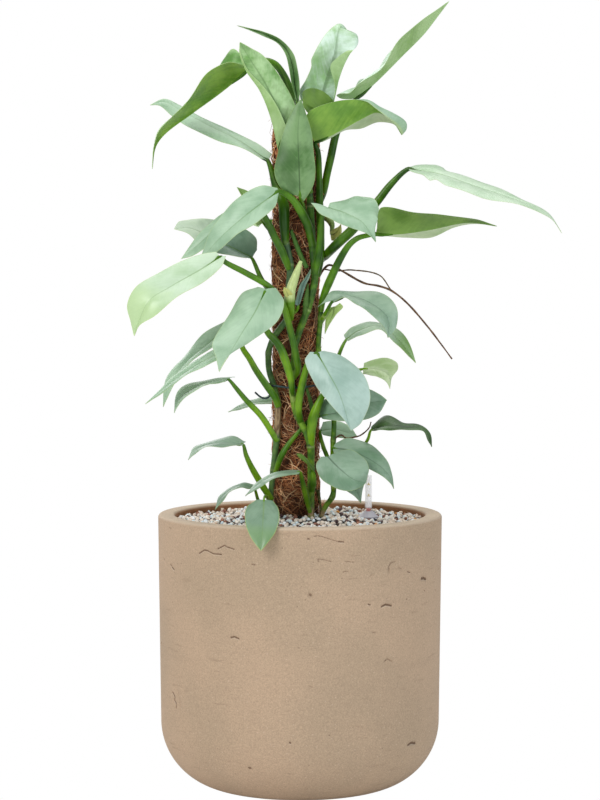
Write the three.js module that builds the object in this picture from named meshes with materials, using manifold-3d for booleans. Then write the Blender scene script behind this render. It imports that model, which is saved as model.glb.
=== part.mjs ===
import * as THREE from "three";
import Module from "manifold-3d";

const wasm = await Module();
wasm.setup();
const { Manifold, CrossSection } = wasm;

// Driving dimensions, in millimetres. +Z is up and the origin is the middle of the pot's underside.
const POT_RADIUS = 175;
const POT_HEIGHT = 339;
const POT_WALL = 21;
const POT_FLOOR = 26;
const POT_CORNER = 84;
const POT_WAIST = 172;
const LIP_ROUND = 4;
const POT_SIDES = 36;

const SUBSTRATE_EDGE = 330;
const SUBSTRATE_MOUND = 9;
const MOUND_SPREAD = 70;

const POLE_X = -5;
const POLE_RADIUS = 27;
const POLE_RELIEF = 1.3;
const POLE_BOTTOM = 70;
const POLE_TOP = 822;
const CORE_RADIUS = 14;

const GAUGE_X = 84.5;
const GAUGE_TOP = 386;
const GAUGE_BOTTOM = 40;
const TUBE_OUTER = 4.3;
const TUBE_INNER = 3.2;
const FLOAT_RADIUS = 2.6;

const GAP = 0.3;
const BLADE_THICKNESS = 0.9;
const PETIOLE_SIDES = 5;
const STEM_SIDES = 6;
const SIMPLIFY = 0.15;

// Key points are written as they stand in the front view: across, down and depth. The view is taken
// from 3.5 m in front and 0.7 m up. One unit across or down is 1.23 mm at the pot's axis, and depth is
// in millimetres, negative towards the viewer.
const EYE = new THREE.Vector3(0, -3500, 700);
const AIM_HEIGHT = 479;
const VIEW_CENTRE = [300, 400];
const VIEW_SCALE = 2846;

const pitch = Math.atan2(EYE.z - AIM_HEIGHT, -EYE.y);
const forward = new THREE.Vector3(0, Math.cos(pitch), -Math.sin(pitch));
const upward = new THREE.Vector3(0, Math.sin(pitch), Math.cos(pitch));

function at([across, down, depth]) {
  const ray = forward.clone();
  ray.x += (across - VIEW_CENTRE[0]) / VIEW_SCALE;
  ray.addScaledVector(upward, (VIEW_CENTRE[1] - down) / VIEW_SCALE);
  return EYE.clone().addScaledVector(ray, (depth - EYE.y) / ray.y);
}

// A smooth curve through points, as a function of the share of the chord length from 0 to 1.
function curve(points) {
  const knots = [0];
  for (let i = 1; i < points.length; i++) {
    knots.push(knots[i - 1] + points[i].distanceTo(points[i - 1]));
  }
  const slopes = points.map((point, i) => {
    const before = Math.max(i - 1, 0);
    const after = Math.min(i + 1, points.length - 1);
    return points[after].clone().sub(points[before]).divideScalar(knots[after] - knots[before]);
  });
  const total = knots[knots.length - 1];
  const point = (share) => {
    const reach = share * total;
    let i = 0;
    while (i < points.length - 2 && reach > knots[i + 1]) {
      i++;
    }
    const span = knots[i + 1] - knots[i];
    const t = (reach - knots[i]) / span;
    const t2 = t * t;
    const t3 = t2 * t;
    return new THREE.Vector3()
      .addScaledVector(points[i], 2 * t3 - 3 * t2 + 1)
      .addScaledVector(slopes[i], (t3 - 2 * t2 + t) * span)
      .addScaledVector(points[i + 1], 3 * t2 - 2 * t3)
      .addScaledVector(slopes[i + 1], (t3 - t2) * span);
  };
  point.knots = knots.map((knot) => knot / total);
  return point;
}

function seededRandom(seed) {
  let state = seed;
  return () => {
    state = (state * 1664525 + 1013904223) % 4294967296;
    return state / 4294967296;
  };
}

function solidFrom(positions, triangles) {
  let volume = 0;
  for (const [a, b, c] of triangles) {
    volume += positions[a].dot(positions[b].clone().cross(positions[c]));
  }
  const facing = volume < 0 ? triangles.map(([a, b, c]) => [a, c, b]) : triangles;
  const mesh = new wasm.Mesh({
    numProp: 3,
    vertProperties: Float32Array.from(positions.flatMap((p) => [p.x, p.y, p.z])),
    triVerts: Uint32Array.from(facing.flat()),
  });
  mesh.merge();
  return new Manifold(mesh);
}

// A round bar along a curve, with radii spread evenly along it. It has a ring of points at each point of the
// path, or the given number of steps of one length. A closed bar has no ends.
function tube(path, radii, sides, steps = 0, closed = false) {
  const line = curve(path);
  const rings = steps || path.length - 1;
  const girth = (share) => {
    const place = share * (radii.length - 1);
    const i = Math.min(Math.floor(place), radii.length - 2);
    return radii[i] + (radii[i + 1] - radii[i]) * (place - i);
  };
  const positions = [];
  const triangles = [];
  const count = closed ? rings : rings + 1;
  let side = null;
  for (let ring = 0; ring < count; ring++) {
    const share = steps ? ring / rings : line.knots[ring];
    const centre = line(share);
    const ahead = line(Math.min(share + 0.01, 1));
    const tangent = ahead.sub(line(Math.max(share - 0.01, 0))).normalize();
    side = side ?? new THREE.Vector3(0.31, 0.95, 0.07);
    side = side.clone().addScaledVector(tangent, -side.dot(tangent)).normalize();
    const other = tangent.clone().cross(side);
    for (let k = 0; k < sides; k++) {
      const angle = (2 * Math.PI * k) / sides;
      positions.push(
        centre.clone()
          .addScaledVector(side, Math.cos(angle) * girth(share))
          .addScaledVector(other, Math.sin(angle) * girth(share)),
      );
    }
  }
  for (let ring = 0; ring < rings; ring++) {
    for (let k = 0; k < sides; k++) {
      const a = ring * sides + k;
      const b = ring * sides + ((k + 1) % sides);
      const c = ((ring + 1) % count) * sides + k;
      const d = ((ring + 1) % count) * sides + ((k + 1) % sides);
      triangles.push([a, b, d], [a, d, c]);
    }
  }
  if (!closed) {
    const last = rings * sides;
    for (let k = 1; k < sides - 1; k++) {
      triangles.push([0, k + 1, k], [last, last + k, last + k + 1]);
    }
  }
  return solidFrom(positions, triangles);
}

const parts = new THREE.Group();
parts.name = "potted_silver_queen_philodendron";

function addPart(name, solid, colour, roughness) {
  const mesh = solid.getMesh();
  const geometry = new THREE.BufferGeometry();
  geometry.setAttribute("position", new THREE.BufferAttribute(new Float32Array(mesh.vertProperties), 3));
  geometry.setIndex(new THREE.BufferAttribute(new Uint32Array(mesh.triVerts), 1));
  geometry.computeVertexNormals();
  const material = new THREE.MeshStandardMaterial({ color: new THREE.Color(colour), roughness });
  material.name = name;
  const node = new THREE.Mesh(geometry, material);
  node.name = name;
  parts.add(node);
}

function largestBody(solid) {
  const bodies = solid.decompose();
  return bodies.reduce((best, body) => (body.volume() > best.volume() ? body : best));
}

// Pot: one cast shell with a rounded foot, a slight flare and a rounded lip.
function arc(cx, cz, radius, from, to, steps) {
  const points = [];
  for (let i = 0; i <= steps; i++) {
    const angle = ((from + ((to - from) * i) / steps) * Math.PI) / 180;
    points.push([cx + radius * Math.cos(angle), cz + radius * Math.sin(angle)]);
  }
  return points;
}

const potInner = POT_RADIUS - POT_WALL;
const innerCorner = POT_CORNER - POT_WALL;
const potProfile = [
  [0, 0],
  ...arc(POT_WAIST - POT_CORNER, POT_CORNER, POT_CORNER, -90, 0, 6),
  ...arc(POT_RADIUS - LIP_ROUND, POT_HEIGHT - LIP_ROUND, LIP_ROUND, 0, 90, 2),
  ...arc(potInner + LIP_ROUND, POT_HEIGHT - LIP_ROUND, LIP_ROUND, 90, 180, 2),
  ...arc(potInner - innerCorner, POT_FLOOR + innerCorner, innerCorner, 0, -90, 3),
  [0, POT_FLOOR],
];
const pot = CrossSection.ofPolygons([potProfile]).revolve(POT_SIDES);
addPart("pot", pot, "#b99f86", 0.85);

// Stems climb the pole. Each is one bar, with the aerial roots that grow from it fused in.
const STEM_DEPTH = 265;

function stemBar(spec, extra = 0) {
  const path = spec.path.map(at);
  const foot = path[0].clone();
  foot.z = STEM_DEPTH - extra;
  return tube([foot, ...path], spec.radii.map((r) => r + extra), STEM_SIDES);
}

const stems = {
  stem_left: {
    path: [[269, 516, -20], [272, 482, -20], [276, 445, -25], [277.5, 424, -28], [278, 404, -29], [275.5, 393, -27],
      [273, 383, -25], [269.5, 372, -21], [268.3, 361, -20], [269, 350, -19.5], [274, 337, -23], [282, 326, -30],
      [289, 316, -34], [291, 304, -34.5], [289, 290, -34.5], [290, 275, -34.5], [290, 262, -34.5],
      [285, 240, -34.5]],
    radii: [3.2, 3.3, 3.4, 3.5, 3.9, 4, 3.9, 3.6, 3.8, 4, 4.2, 4.2],
    roots: [],
  },
  stem_middle: {
    path: [[311, 516, -35], [311, 485, -35], [311, 461, -36], [310.5, 446, -40], [306, 432, -41],
      [300.5, 422, -41], [295.5, 410, -39], [292.8, 395, -37], [291.5, 384, -36], [291, 373, -36],
      [293.6, 360, -36], [294.5, 348, -36], [296, 343, -35.5], [299.5, 331, -35], [304, 319, -35],
      [308, 308, -35], [314, 285, -34], [315, 272, -34], [313, 255, -34], [312, 235, -35], [310, 200, -35],
      [307, 160, -35], [305, 130, -35]],
    radii: [3.6, 4, 4.2, 4.4, 4.2, 4, 3.4, 4.4, 4.4, 4.4, 4.2, 4, 3.6],
    roots: [
      { path: [[305, 316, -36], [306, 300, -41], [308, 284, -39]], radii: [3, 3.6, 1], rings: 4 },
      { path: [[307, 268, -36], [300, 254, -35], [291, 230, -33]], radii: [2.8, 3.2, 2.2], rings: 4 },
      { path: [[308, 438, -40], [313, 420, -37.5], [311, 404, -36], [307.5, 391, -34], [305, 383, -32.5]],
        radii: [2.2, 3, 2.6, 1.2], rings: 5 },
    ],
  },
  stem_right: {
    path: [[321, 517, -22], [326, 506, -23], [333, 495, -25], [333, 478, -25], [333, 462, -25],
      [333, 445, -25], [334, 421, -25], [331, 400, -24], [327, 382, -23], [320.5, 364, -21],
      [318.5, 350, -20], [319, 335, -20], [320.5, 320, -21], [321, 308, -22]],
    radii: [2.4, 3, 3.2, 3.4, 3.2, 3, 3, 3.2, 3.2],
    roots: [
      { path: [[322, 517, -22], [320, 503, -25], [318, 490, -27]], radii: [1.4, 1.4, 2.6], rings: 4 },
      { path: [[333, 440, -25], [341, 435, -30], [346, 438, -30], [355, 437, -30], [361, 435, -30],
        [369, 428, -31], [371, 422, -33]], radii: [1.1, 1, 0.8], rings: 8 },
    ],
  },
  stem_back: {
    path: [[303, 518, 35], [300, 450, 35], [304, 400, 35], [302, 340, 35], [304, 280, 35],
      [303, 220, 35], [304, 180, 35], [304, 145, 35]],
    radii: [3.8, 4.4, 4.4, 4, 3.6],
    roots: [
      { path: [[305, 286, 35], [317, 279, 24], [324, 269, 10], [330, 265, 2], [342, 271, -2], [364, 283, -6],
        [379, 286, -7], [392, 291, -8], [408, 304, -10], [428, 327, -14], [441, 344, -16],
        [452, 359, -18]], radii: [1.5, 1.4, 1.3, 1.2, 0.9], rings: 14 },
      { path: [[324, 269, 11], [335, 271, 8], [352, 270, 1], [379, 275, -3], [391, 290, -8]],
        radii: [0.9, 0.9, 0.8], rings: 6 },
    ],
  },
};

const stemSolids = {};
const stemCutters = [];
for (const [name, spec] of Object.entries(stems)) {
  let solid = stemBar(spec);
  for (const root of spec.roots) {
    solid = solid.add(tube(root.path.map(at), root.radii, 4, root.rings));
  }
  stemSolids[name] = solid;
  stemCutters.push(stemBar(spec, GAP));
}
const STEM_COLOURS = {
  stem_left: "#55743a",
  stem_middle: "#3f6b26",
  stem_right: "#46702c",
  stem_back: "#4a6f30",
};

// Coir pole: a sleeve of matted husk fibre over a round wooden stake.
const poleAxis = new THREE.Vector2(POLE_X, 0);

function coirSleeve() {
  const sides = 16;
  const rows = 20;
  const random = seededRandom(11);
  const positions = [];
  const triangles = [];
  for (let row = 0; row <= rows; row++) {
    const height = POLE_BOTTOM + ((POLE_TOP - POLE_BOTTOM) * row) / rows;
    for (let k = 0; k < sides; k++) {
      const angle = (2 * Math.PI * (k + 0.5 * (row % 2))) / sides;
      const radius = POLE_RADIUS + POLE_RELIEF * (2 * random() - 1);
      positions.push(new THREE.Vector3(
        POLE_X + radius * Math.cos(angle), radius * Math.sin(angle), height));
    }
  }
  for (let row = 0; row < rows; row++) {
    const lean = row % 2;
    for (let k = 0; k < sides; k++) {
      const a = row * sides + k;
      const b = row * sides + ((k + 1) % sides);
      const c = (row + 1) * sides + k;
      const d = (row + 1) * sides + ((k + 1) % sides);
      if (lean) {
        triangles.push([a, b, d], [a, d, c]);
      } else {
        triangles.push([a, b, c], [b, d, c]);
      }
    }
  }
  const top = rows * sides;
  for (let k = 1; k < sides - 1; k++) {
    triangles.push([0, k + 1, k], [top, top + k, top + k + 1]);
  }
  const bore = Manifold.cylinder(POLE_TOP, CORE_RADIUS + GAP, CORE_RADIUS + GAP, 20)
    .translate([POLE_X, 0, 0]);
  return solidFrom(positions, triangles).subtract(bore);
}
addPart("coir_pole", coirSleeve(), "#6e4529", 0.95);

const core = Manifold.cylinder(POLE_TOP + 2 - POLE_BOTTOM, CORE_RADIUS, CORE_RADIUS, 20)
  .translate([POLE_X, 0, POLE_BOTTOM]);
addPart("pole_stake", core, "#b58f5f", 0.75);

const poleCutter = Manifold.cylinder(
  POLE_TOP + 4, POLE_RADIUS + POLE_RELIEF + GAP, POLE_RADIUS + POLE_RELIEF + GAP, 32)
  .translate([POLE_X, 0, 0]);

// Water gauge: a clear tube, a float rod with a red head inside it and a conical collar.
const tubeSolid = Manifold.cylinder(GAUGE_TOP - GAUGE_BOTTOM, TUBE_OUTER, TUBE_OUTER, 20)
  .subtract(Manifold.cylinder(GAUGE_TOP - GAUGE_BOTTOM - 1.6, TUBE_INNER, TUBE_INNER, 20)
    .translate([0, 0, -0.1]))
  .translate([GAUGE_X, 0, GAUGE_BOTTOM]);
addPart("gauge_tube", tubeSolid, "#cdcbcd", 0.2);

const FLOAT_HEAD = 345;
const floatSolid = Manifold.cylinder(FLOAT_HEAD - 5 - 60, 1.2, 1.2, 12).translate([GAUGE_X, 0, 60])
  .add(Manifold.cylinder(6, FLOAT_RADIUS, FLOAT_RADIUS, 16).translate([GAUGE_X, 0, FLOAT_HEAD - 6]))
  .add(Manifold.cylinder(16, FLOAT_RADIUS, FLOAT_RADIUS, 16).translate([GAUGE_X, 0, 52]));
addPart("gauge_float", floatSolid, "#d64a26", 0.5);

const COLLAR_FOOT = 333.4;
const collarProfile = [
  [TUBE_OUTER + GAP, 0], [12.6, 0], [12.9, 0.9], [12.2, 1.9], [6, 7.6], [TUBE_OUTER + GAP, 8.2],
];
const collar = CrossSection.ofPolygons([collarProfile]).revolve(20)
  .translate([GAUGE_X, 0, COLLAR_FOOT]);
addPart("gauge_collar", collar, "#bdb8c2", 0.4);

// Substrate: the fill of mineral granules, with its surface as relief and plain holes for what stands in it.
function substrateHeight(radius) {
  const fade = Math.min(Math.max((radius - 20) / MOUND_SPREAD, 0), 1);
  const rise = 1 - fade * fade * (3 - 2 * fade);
  return SUBSTRATE_EDGE + SUBSTRATE_MOUND * rise;
}

function substrateFill() {
  const sides = 28;
  const rings = [14, 38, 58, 80, 104, 130, potInner - GAP];
  const random = seededRandom(5);
  const positions = [new THREE.Vector3(0, 0, substrateHeight(0))];
  const triangles = [];
  rings.forEach((radius, ring) => {
    for (let k = 0; k < sides; k++) {
      const angle = (2 * Math.PI * (k + 0.5 * (ring % 2))) / sides;
      const flat = Math.abs(radius * Math.cos(angle) - GAUGE_X) < 17 && Math.abs(radius * Math.sin(angle)) < 17;
      const bump = flat || ring === rings.length - 1 ? 0 : 2.2 * (random() - 0.5);
      positions.push(new THREE.Vector3(
        radius * Math.cos(angle), radius * Math.sin(angle), substrateHeight(radius) + bump));
    }
  });
  const first = (ring) => 1 + ring * sides;
  for (let k = 0; k < sides; k++) {
    const next = (k + 1) % sides;
    triangles.push([0, first(0) + k, first(0) + next]);
    for (let ring = 0; ring < rings.length - 1; ring++) {
      const a = first(ring) + k;
      const b = first(ring) + next;
      const c = first(ring + 1) + k;
      const d = first(ring + 1) + next;
      if (ring % 2) {
        triangles.push([a, c, b], [b, c, d]);
      } else {
        triangles.push([a, d, b], [a, c, d]);
      }
    }
  }
  const floor = positions.length;
  const shared = rings.length - 1;
  for (let k = 0; k < sides; k++) {
    const angle = (2 * Math.PI * (k + 0.5 * (shared % 2))) / sides;
    const reach = potInner - GAP;
    positions.push(new THREE.Vector3(reach * Math.cos(angle), reach * Math.sin(angle), 0));
  }
  positions.push(new THREE.Vector3(0, 0, 0));
  for (let k = 0; k < sides; k++) {
    const next = (k + 1) % sides;
    triangles.push([first(shared) + k, floor + k, first(shared) + next]);
    triangles.push([first(shared) + next, floor + k, floor + next]);
    triangles.push([floor + sides, floor + next, floor + k]);
  }
  const cavityProfile = [
    [0, POT_FLOOR + GAP],
    ...arc(potInner - innerCorner, POT_FLOOR + innerCorner, innerCorner - GAP, -90, 0, 3),
    [potInner - GAP - 0.35, 360],
    [0, 360],
  ];
  const cavity = CrossSection.ofPolygons([cavityProfile]).revolve(POT_SIDES);
  let solid = solidFrom(positions, triangles).intersect(cavity);
  solid = solid.subtract(Manifold.cylinder(400, POLE_RADIUS + POLE_RELIEF + GAP,
    POLE_RADIUS + POLE_RELIEF + GAP, 24).translate([POLE_X, 0, POLE_BOTTOM - GAP]));
  solid = solid.subtract(Manifold.cylinder(400, TUBE_OUTER + GAP, TUBE_OUTER + GAP, 20)
    .translate([GAUGE_X, 0, GAUGE_BOTTOM - GAP]));
  for (const cutter of stemCutters) {
    solid = solid.subtract(cutter);
  }
  return solid.simplify(SIMPLIFY);
}
addPart("substrate", substrateFill(), "#c9bdb0", 0.9);

for (const [name, solid] of Object.entries(stemSolids)) {
  addPart(name, largestBody(solid.subtract(poleCutter).simplify(SIMPLIFY)), STEM_COLOURS[name], 0.5);
}

// Plant tie: one loop of covered wire round the pole and the stems, with its twisted end left loose.
const TIE_HEIGHT = 498;
const tieLoop = [
  [-41.5, -22], [-38, -30.4], [-27, -34.5], [-16, -42.2], [-8, -43], [3, -38.5], [14, -31], [26.5, -12],
  [27, 3], [22, 20], [14, 37], [6, 41.8], [-4, 38], [-20, 29], [-34, 14], [-40, -6], [-41.5, -22],
].map(([x, y], i) => new THREE.Vector3(x, y, TIE_HEIGHT + 1.5 * Math.cos(i * 0.785)));
const tieEnd = [
  [271.5, 384.5, -31.5], [271, 391, -32], [269, 396.5, -32.5], [265.3, 398.4, -34], [260.6, 397, -36],
  [255, 392.3, -38],
].map(at);
const tie = tube(tieLoop, [1.3, 1.3], 5, 30, true).add(tube(tieEnd, [1.2, 1.2], 5));
addPart("plant_tie", tie, "#24343a", 0.5);

// Leaves. Each is a blade with its petiole. A blade has a rib from base to tip and two edges, a and b,
// from the back of each lobe towards the tip. fold_a or fold_b is the line on which a curled half turns
// over. face is roughly where the silver side looks; it is towards the viewer where none is given.
const leaves = {
  leaf_01: {
    petiole: [[304, 154, -38], [298, 140, -38], [295, 125, -36], [295, 113, -27], [295, 102, -14],
      [289.5, 88, -6], [284.2, 76.3, -3], [276, 64.8, -2], [267, 60.7, -2], [258, 62, -2], [247, 70, 0]],
    girth: [3.2, 3.4, 3.6, 4.2, 4.6, 4.4, 3.4],
    rib: [[247, 70, 0], [220, 92, -4], [190, 114, -8], [165, 133, -12], [155, 147, -16], [152, 169, -20]],
    a: [[246, 66, -14], [228, 62, -30], [213, 71, -42], [196, 93, -44], [172, 116, -34], [156, 135, -26]],
    b: [[246, 63, 6], [236, 51, 14], [226, 60, 20], [205, 82, 22], [175, 112, 12], [158, 133, 0]],
    face: [-0.5, 0.3, 0.8],
  },
  leaf_02: {
    petiole: [[311, 193, -38], [303, 178, -42], [292, 162, -45], [286, 150, -46]],
    girth: [3.2, 3.2, 2.6],
    rib: [[286, 150, -46], [280, 115, -49], [266, 84, -50], [251, 60, -50], [240, 42, -48]],
    a: [[294, 142, -44], [297, 110, -42], [281, 78, -42], [263, 56, -44], [249, 47, -46]],
    b: [[287, 128, -54], [276, 104, -56], [263, 86, -56], [248, 70, -53], [241, 54, -50]],
    fold_b: [[278, 148, -50], [269, 113, -50], [260, 91, -51], [248, 73, -51], [240, 54, -49]],
  },
  leaf_03: {
    petiole: [[311, 231, -37], [307, 221, -40], [303, 206, -45], [300, 196, -60]],
    girth: [2.6, 2.6, 2.2],
    rib: [[300, 196, -60], [299, 165, -65], [298, 130, -64], [301, 99, -57]],
    a: [[292, 195, -58], [280, 187, -60], [274.3, 172, -61], [278, 153, -62], [283, 133, -60],
      [293, 109, -57]],
    b: [[304, 201, -58], [313, 186, -60], [315.4, 171, -61], [313.6, 152, -62], [311.5, 132, -61],
      [305.5, 112, -58]],
  },
  leaf_04: {
    petiole: [[305, 139, -41], [303, 124, -41], [298.5, 108, -36]],
    girth: [2.4, 2.4, 1.8],
    rib: [[298, 106, -35], [295, 86, -30], [292.5, 66, -27], [286, 49, -22], [271, 37, -15], [256, 31, -11],
      [237, 25.4, -8]],
    a: [[299.2, 102, -34], [299.7, 85, -36], [297.4, 68, -33], [293, 53, -28], [280, 39, -21],
      [262.8, 31.4, -15], [250.5, 28.4, -11]],
    b: [[296, 99, -36], [291.7, 84, -36], [289, 68.3, -33], [285.3, 54, -28], [277, 42.8, -22],
      [262.8, 36, -16], [249.4, 30.2, -12]],
  },
  leaf_05: {
    petiole: [[307, 134, -33], [315, 121, -28], [319, 108, -24]],
    girth: [2.8, 2.8, 2.4],
    rib: [[319, 108, -24], [325, 83, -25], [334, 55, -23], [340, 28, -8], [352, 38, 8]],
    a: [[301, 101, -22], [299.6, 91, -22], [306, 80, -24], [311.5, 67, -25], [311.5, 59, -24],
      [320.5, 41, -20], [331, 28.5, -8], [341, 24, 2]],
    b: [[333, 104, -24], [335, 86, -28], [330.5, 66, -34], [338, 57, -32], [346, 51.5, -26],
      [352.5, 48, -10]],
    fold_b: [[331, 105, -20], [336.5, 86, -23], [343.5, 67, -27], [349, 55, -25], [356, 43, -16],
      [357, 35, 0]],
  },
  leaf_06: {
    petiole: [[304, 216, 37], [316, 207, 27], [322, 197, 12], [325, 186, 0], [327.5, 172, -4],
      [331, 156, -6], [336, 133, -5], [344, 114, -3], [357, 98, 0]],
    girth: [3.8, 4, 4.4, 5, 5, 3.8],
    rib: [[357, 98, 0], [379, 78, 4], [401, 56, 8], [423, 34, 12], [438, 15, 14], [449, 1, 14]],
    a: [[352, 99, -6], [342, 99.5, -12], [337.5, 96.5, -18], [341, 94, -24], [350, 93, -27], [358, 84, -28],
      [379, 66, -26], [405, 36, -14], [434, 12, 4]],
    b: [[355, 88, 14], [360, 79, 26], [370, 76, 30], [392, 52, 30], [415, 30, 26], [437, 12, 20]],
    face: [-0.7, 0, 0.7],
  },
  leaf_07: {
    petiole: [[317, 276, -31], [320, 260, -24], [320.5, 230, -22], [319.5, 200, -22], [319, 170, -22],
      [318, 152, -26], [315, 143, -31]],
    girth: [4.2, 4.8, 5, 4.6, 3.8, 3.4],
    rib: [[315, 143, -31], [341, 129.5, -34], [362, 118, -36], [376, 112, -37], [390, 117, -34],
      [402, 135, -28]],
    a: [[304, 119, -47], [311, 110, -50], [333, 102, -54], [352, 99.5, -53], [366, 101.5, -52],
      [375, 108, -52], [386, 116.5, -49], [394, 123, -42], [400, 131, -34]],
    fold_a: [[309, 130, -41], [322, 121, -44], [338, 114, -47], [354, 107.5, -48], [368, 102, -48],
      [381, 107.5, -46], [394, 113.5, -42], [405.5, 121.5, -37], [406.5, 129, -32]],
    b: [[322, 142, -22], [345, 131, -16], [362, 129, -14], [380, 123, -18], [394, 124, -24]],
    face: [0, 0.8, 0.6],
  },
  leaf_08: {
    petiole: [[304, 152, 37], [316, 140, 30], [328, 130, 12], [331, 123, -12], [329, 118, -28]],
    girth: [2.6, 2.6, 2.2],
    rib: [[328, 117, -31], [319, 110, -36], [310, 106, -38.5], [302.5, 99, -38]],
    a: [[335, 103, -35], [327, 94, -36], [317, 88.5, -37], [308, 88.5, -38], [303, 92, -38.5]],
    b: [[325, 120, -33], [317, 117, -38], [308, 113, -41], [303.5, 106, -40]],
    face: [0.2, 0.8, 0.5],
  },
  leaf_09: {
    petiole: [[285, 244, -35], [284, 222, -41], [283, 203, -40], [276, 187, -30], [268, 161, -10]],
    girth: [4.6, 6.2, 6.4, 4.4, 2.8],
    rib: [[268, 161, -10], [240, 141, 10], [210, 126, 32], [180, 110, 50], [165, 102, 56], [150, 105, 56]],
    a: [[272, 154, -2], [255, 143, 14], [228, 129, 32], [200, 116, 48], [178, 105, 60], [164, 99, 60]],
    b: [[262, 159, -18], [240, 147, -4], [215, 139, 12], [190, 129, 28], [172, 116, 44], [160, 106, 52]],
  },
  leaf_10: {
    petiole: [[313, 246, -38], [311, 238, -41], [308, 226, -47], [301, 212, -55], [292, 199, -60],
      [279, 191, -64]],
    girth: [4.2, 5, 5.2, 4.4, 3.2],
    rib: [[279, 191, -64], [262, 203, -74], [240, 220, -80], [218, 240, -76], [199, 262, -66]],
    a: [[277, 188, -62], [262, 186, -64], [242, 194, -68], [225, 211, -68], [210, 234, -66]],
    b: [[278, 196, -68], [275, 206, -78], [255, 224, -90], [236, 236, -88], [214, 254, -76]],
  },
  leaf_11: {
    petiole: [[293, 378, -36], [298, 369.5, -44], [296.8, 360, -49], [294, 346, -52], [290.5, 332, -54],
      [287, 318, -57], [283.5, 307, -61], [279, 298, -62], [269, 286.5, -66], [246, 273, -78],
      [225, 262, -90], [220, 257, -92]],
    girth: [3.8, 4.2, 4, 3.8, 3.8, 3.8, 3.8, 3.6, 3],
    rib: [[220, 257, -92], [200, 270, -104], [170, 287, -118], [148, 302, -126], [134, 336, -118]],
    a: [[216, 252, -88], [195, 255, -92], [165, 269, -102], [138, 286, -110], [128, 305, -114],
      [131, 322, -116]],
    b: [[226, 256, -94], [221, 267, -104], [200, 285, -118], [175, 299, -130], [155, 316, -132],
      [140, 325, -126]],
  },
  leaf_12: {
    petiole: [[288, 312, -33], [281, 303, -30], [272, 293, -26], [262, 280, -20], [252, 258, -14]],
    girth: [2.6, 3.4, 3.4, 2.6],
    rib: [[252, 258, -14], [235, 249, -4], [212, 238, 4], [190, 228, 10], [174, 229, 12]],
    a: [[257, 250, -10], [256, 238, 0], [244, 229, 10], [210, 219, 18], [180, 221, 16]],
    b: [[246, 258, -20], [230, 256, -18], [205, 248, -8], [188, 234, 4]],
  },
  leaf_13: {
    petiole: [[302, 236, 37], [285, 224, 52], [272, 221, 66], [262, 222, 80]],
    girth: [3, 3, 2.6],
    rib: [[262, 222, 80], [250, 216, 110], [240, 216, 140], [232, 226, 160]],
    a: [[262, 214, 80], [250, 206, 108], [238, 206, 140], [230, 218, 158]],
    b: [[258, 227, 80], [252, 225, 110], [243, 226, 140], [235, 231, 158]],
    face: [0, -0.2, 1],
  },
  leaf_14: {
    petiole: [[300, 250, 36], [280, 240, 30], [269, 230, 12], [263, 223, -6]],
    girth: [2, 2.2, 1.8],
    rib: [[263, 223, -6], [253, 206, -14], [237, 187, -18]],
    a: [[267, 217, -4], [259, 202, -8], [248, 191.5, -14]],
    b: [[257, 226, -8], [248, 211, -16], [241, 195, -19]],
  },
  leaf_15: {
    petiole: [[293.5, 396, -36], [292.3, 389, -48.5], [291, 380, -52.5], [288, 369, -52], [285, 360, -52],
      [281.5, 350, -52], [275.5, 341, -53], [268.5, 333.5, -56], [263, 322, -62], [262.5, 306, -68],
      [266, 290, -73]],
    girth: [3.2, 3.6, 4.4, 5, 4.8, 4, 3.4, 3.2, 2.8],
    rib: [[266, 289, -74], [255, 312, -86], [240, 336, -94], [219, 372, -92]],
    a: [[258, 287, -70], [242, 293, -72], [229, 315, -78], [213, 343, -86], [216, 357, -90]],
    b: [[276, 288, -70], [284, 302, -74], [277, 322, -82], [250, 342, -92], [228, 356, -93]],
  },
  leaf_16: {
    petiole: [[278, 406, -32], [274.5, 397, -37], [267, 386, -40], [256, 370, -41], [249.5, 358.5, -40],
      [242.5, 347.5, -37], [236, 324, -31]],
    girth: [4, 4.4, 4.2, 3.8, 3.4, 2.6],
    rib: [[236, 322, -30], [210, 342, -38], [185, 364, -44], [170, 382, -46], [163, 407, -42]],
    a: [[234, 316, -22], [205, 334, -24], [184, 356, -28], [166, 378, -36]],
    b: [[236, 328, -40], [212, 347, -52], [190, 362, -58], [174, 386, -52]],
    face: [-0.4, 0.5, 0.7],
  },
  leaf_17: {
    petiole: [[273, 338, -24], [262, 329, -46], [247, 335, -58], [233, 344, -63], [222, 352, -64]],
    girth: [2.8, 3, 2.4],
    rib: [[222, 352, -64], [200, 363, -76], [175, 380, -84], [160, 392, -86], [145, 404, -84]],
    a: [[220, 347, -58], [197, 359, -64], [178, 372, -70], [162, 388, -78]],
    b: [[222, 358, -72], [202, 367, -88], [182, 379, -96], [164, 392, -92]],
    face: [-0.3, -0.3, 0.9],
  },
  leaf_18: {
    petiole: [[277, 441, -27], [262, 417, -36], [246, 400, -44], [236, 388, -48], [228, 379, -52]],
    girth: [3.6, 3.8, 3.6, 2.8],
    rib: [[228, 379, -52], [206, 384, -62], [188, 392, -68], [179, 400, -68], [174, 413, -66]],
    a: [[235, 377, -44], [214, 378, -42], [194, 382, -46], [178, 392, -56]],
    b: [[226, 381, -60], [206, 386, -80], [190, 395, -84], [180, 403, -76]],
    face: [-0.3, -0.2, 0.9],
  },
  leaf_19: {
    petiole: [[299, 417, 36], [282, 409, 32], [275, 403, 22], [272, 401, 16]],
    girth: [2, 2, 1.8],
    rib: [[272, 401, 16], [255, 403, 26], [240, 407, 34], [228, 412, 36]],
    a: [[271, 394, 26], [256, 399, 38], [240, 405, 42]],
    b: [[273, 404, 8], [256, 405, 14], [241, 409, 26]],
    face: [0, -0.3, 0.9],
  },
  leaf_20: {
    petiole: [[271, 499, -22], [262, 485, -34], [252, 468, -46], [246, 455, -52], [243, 444, -56]],
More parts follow.
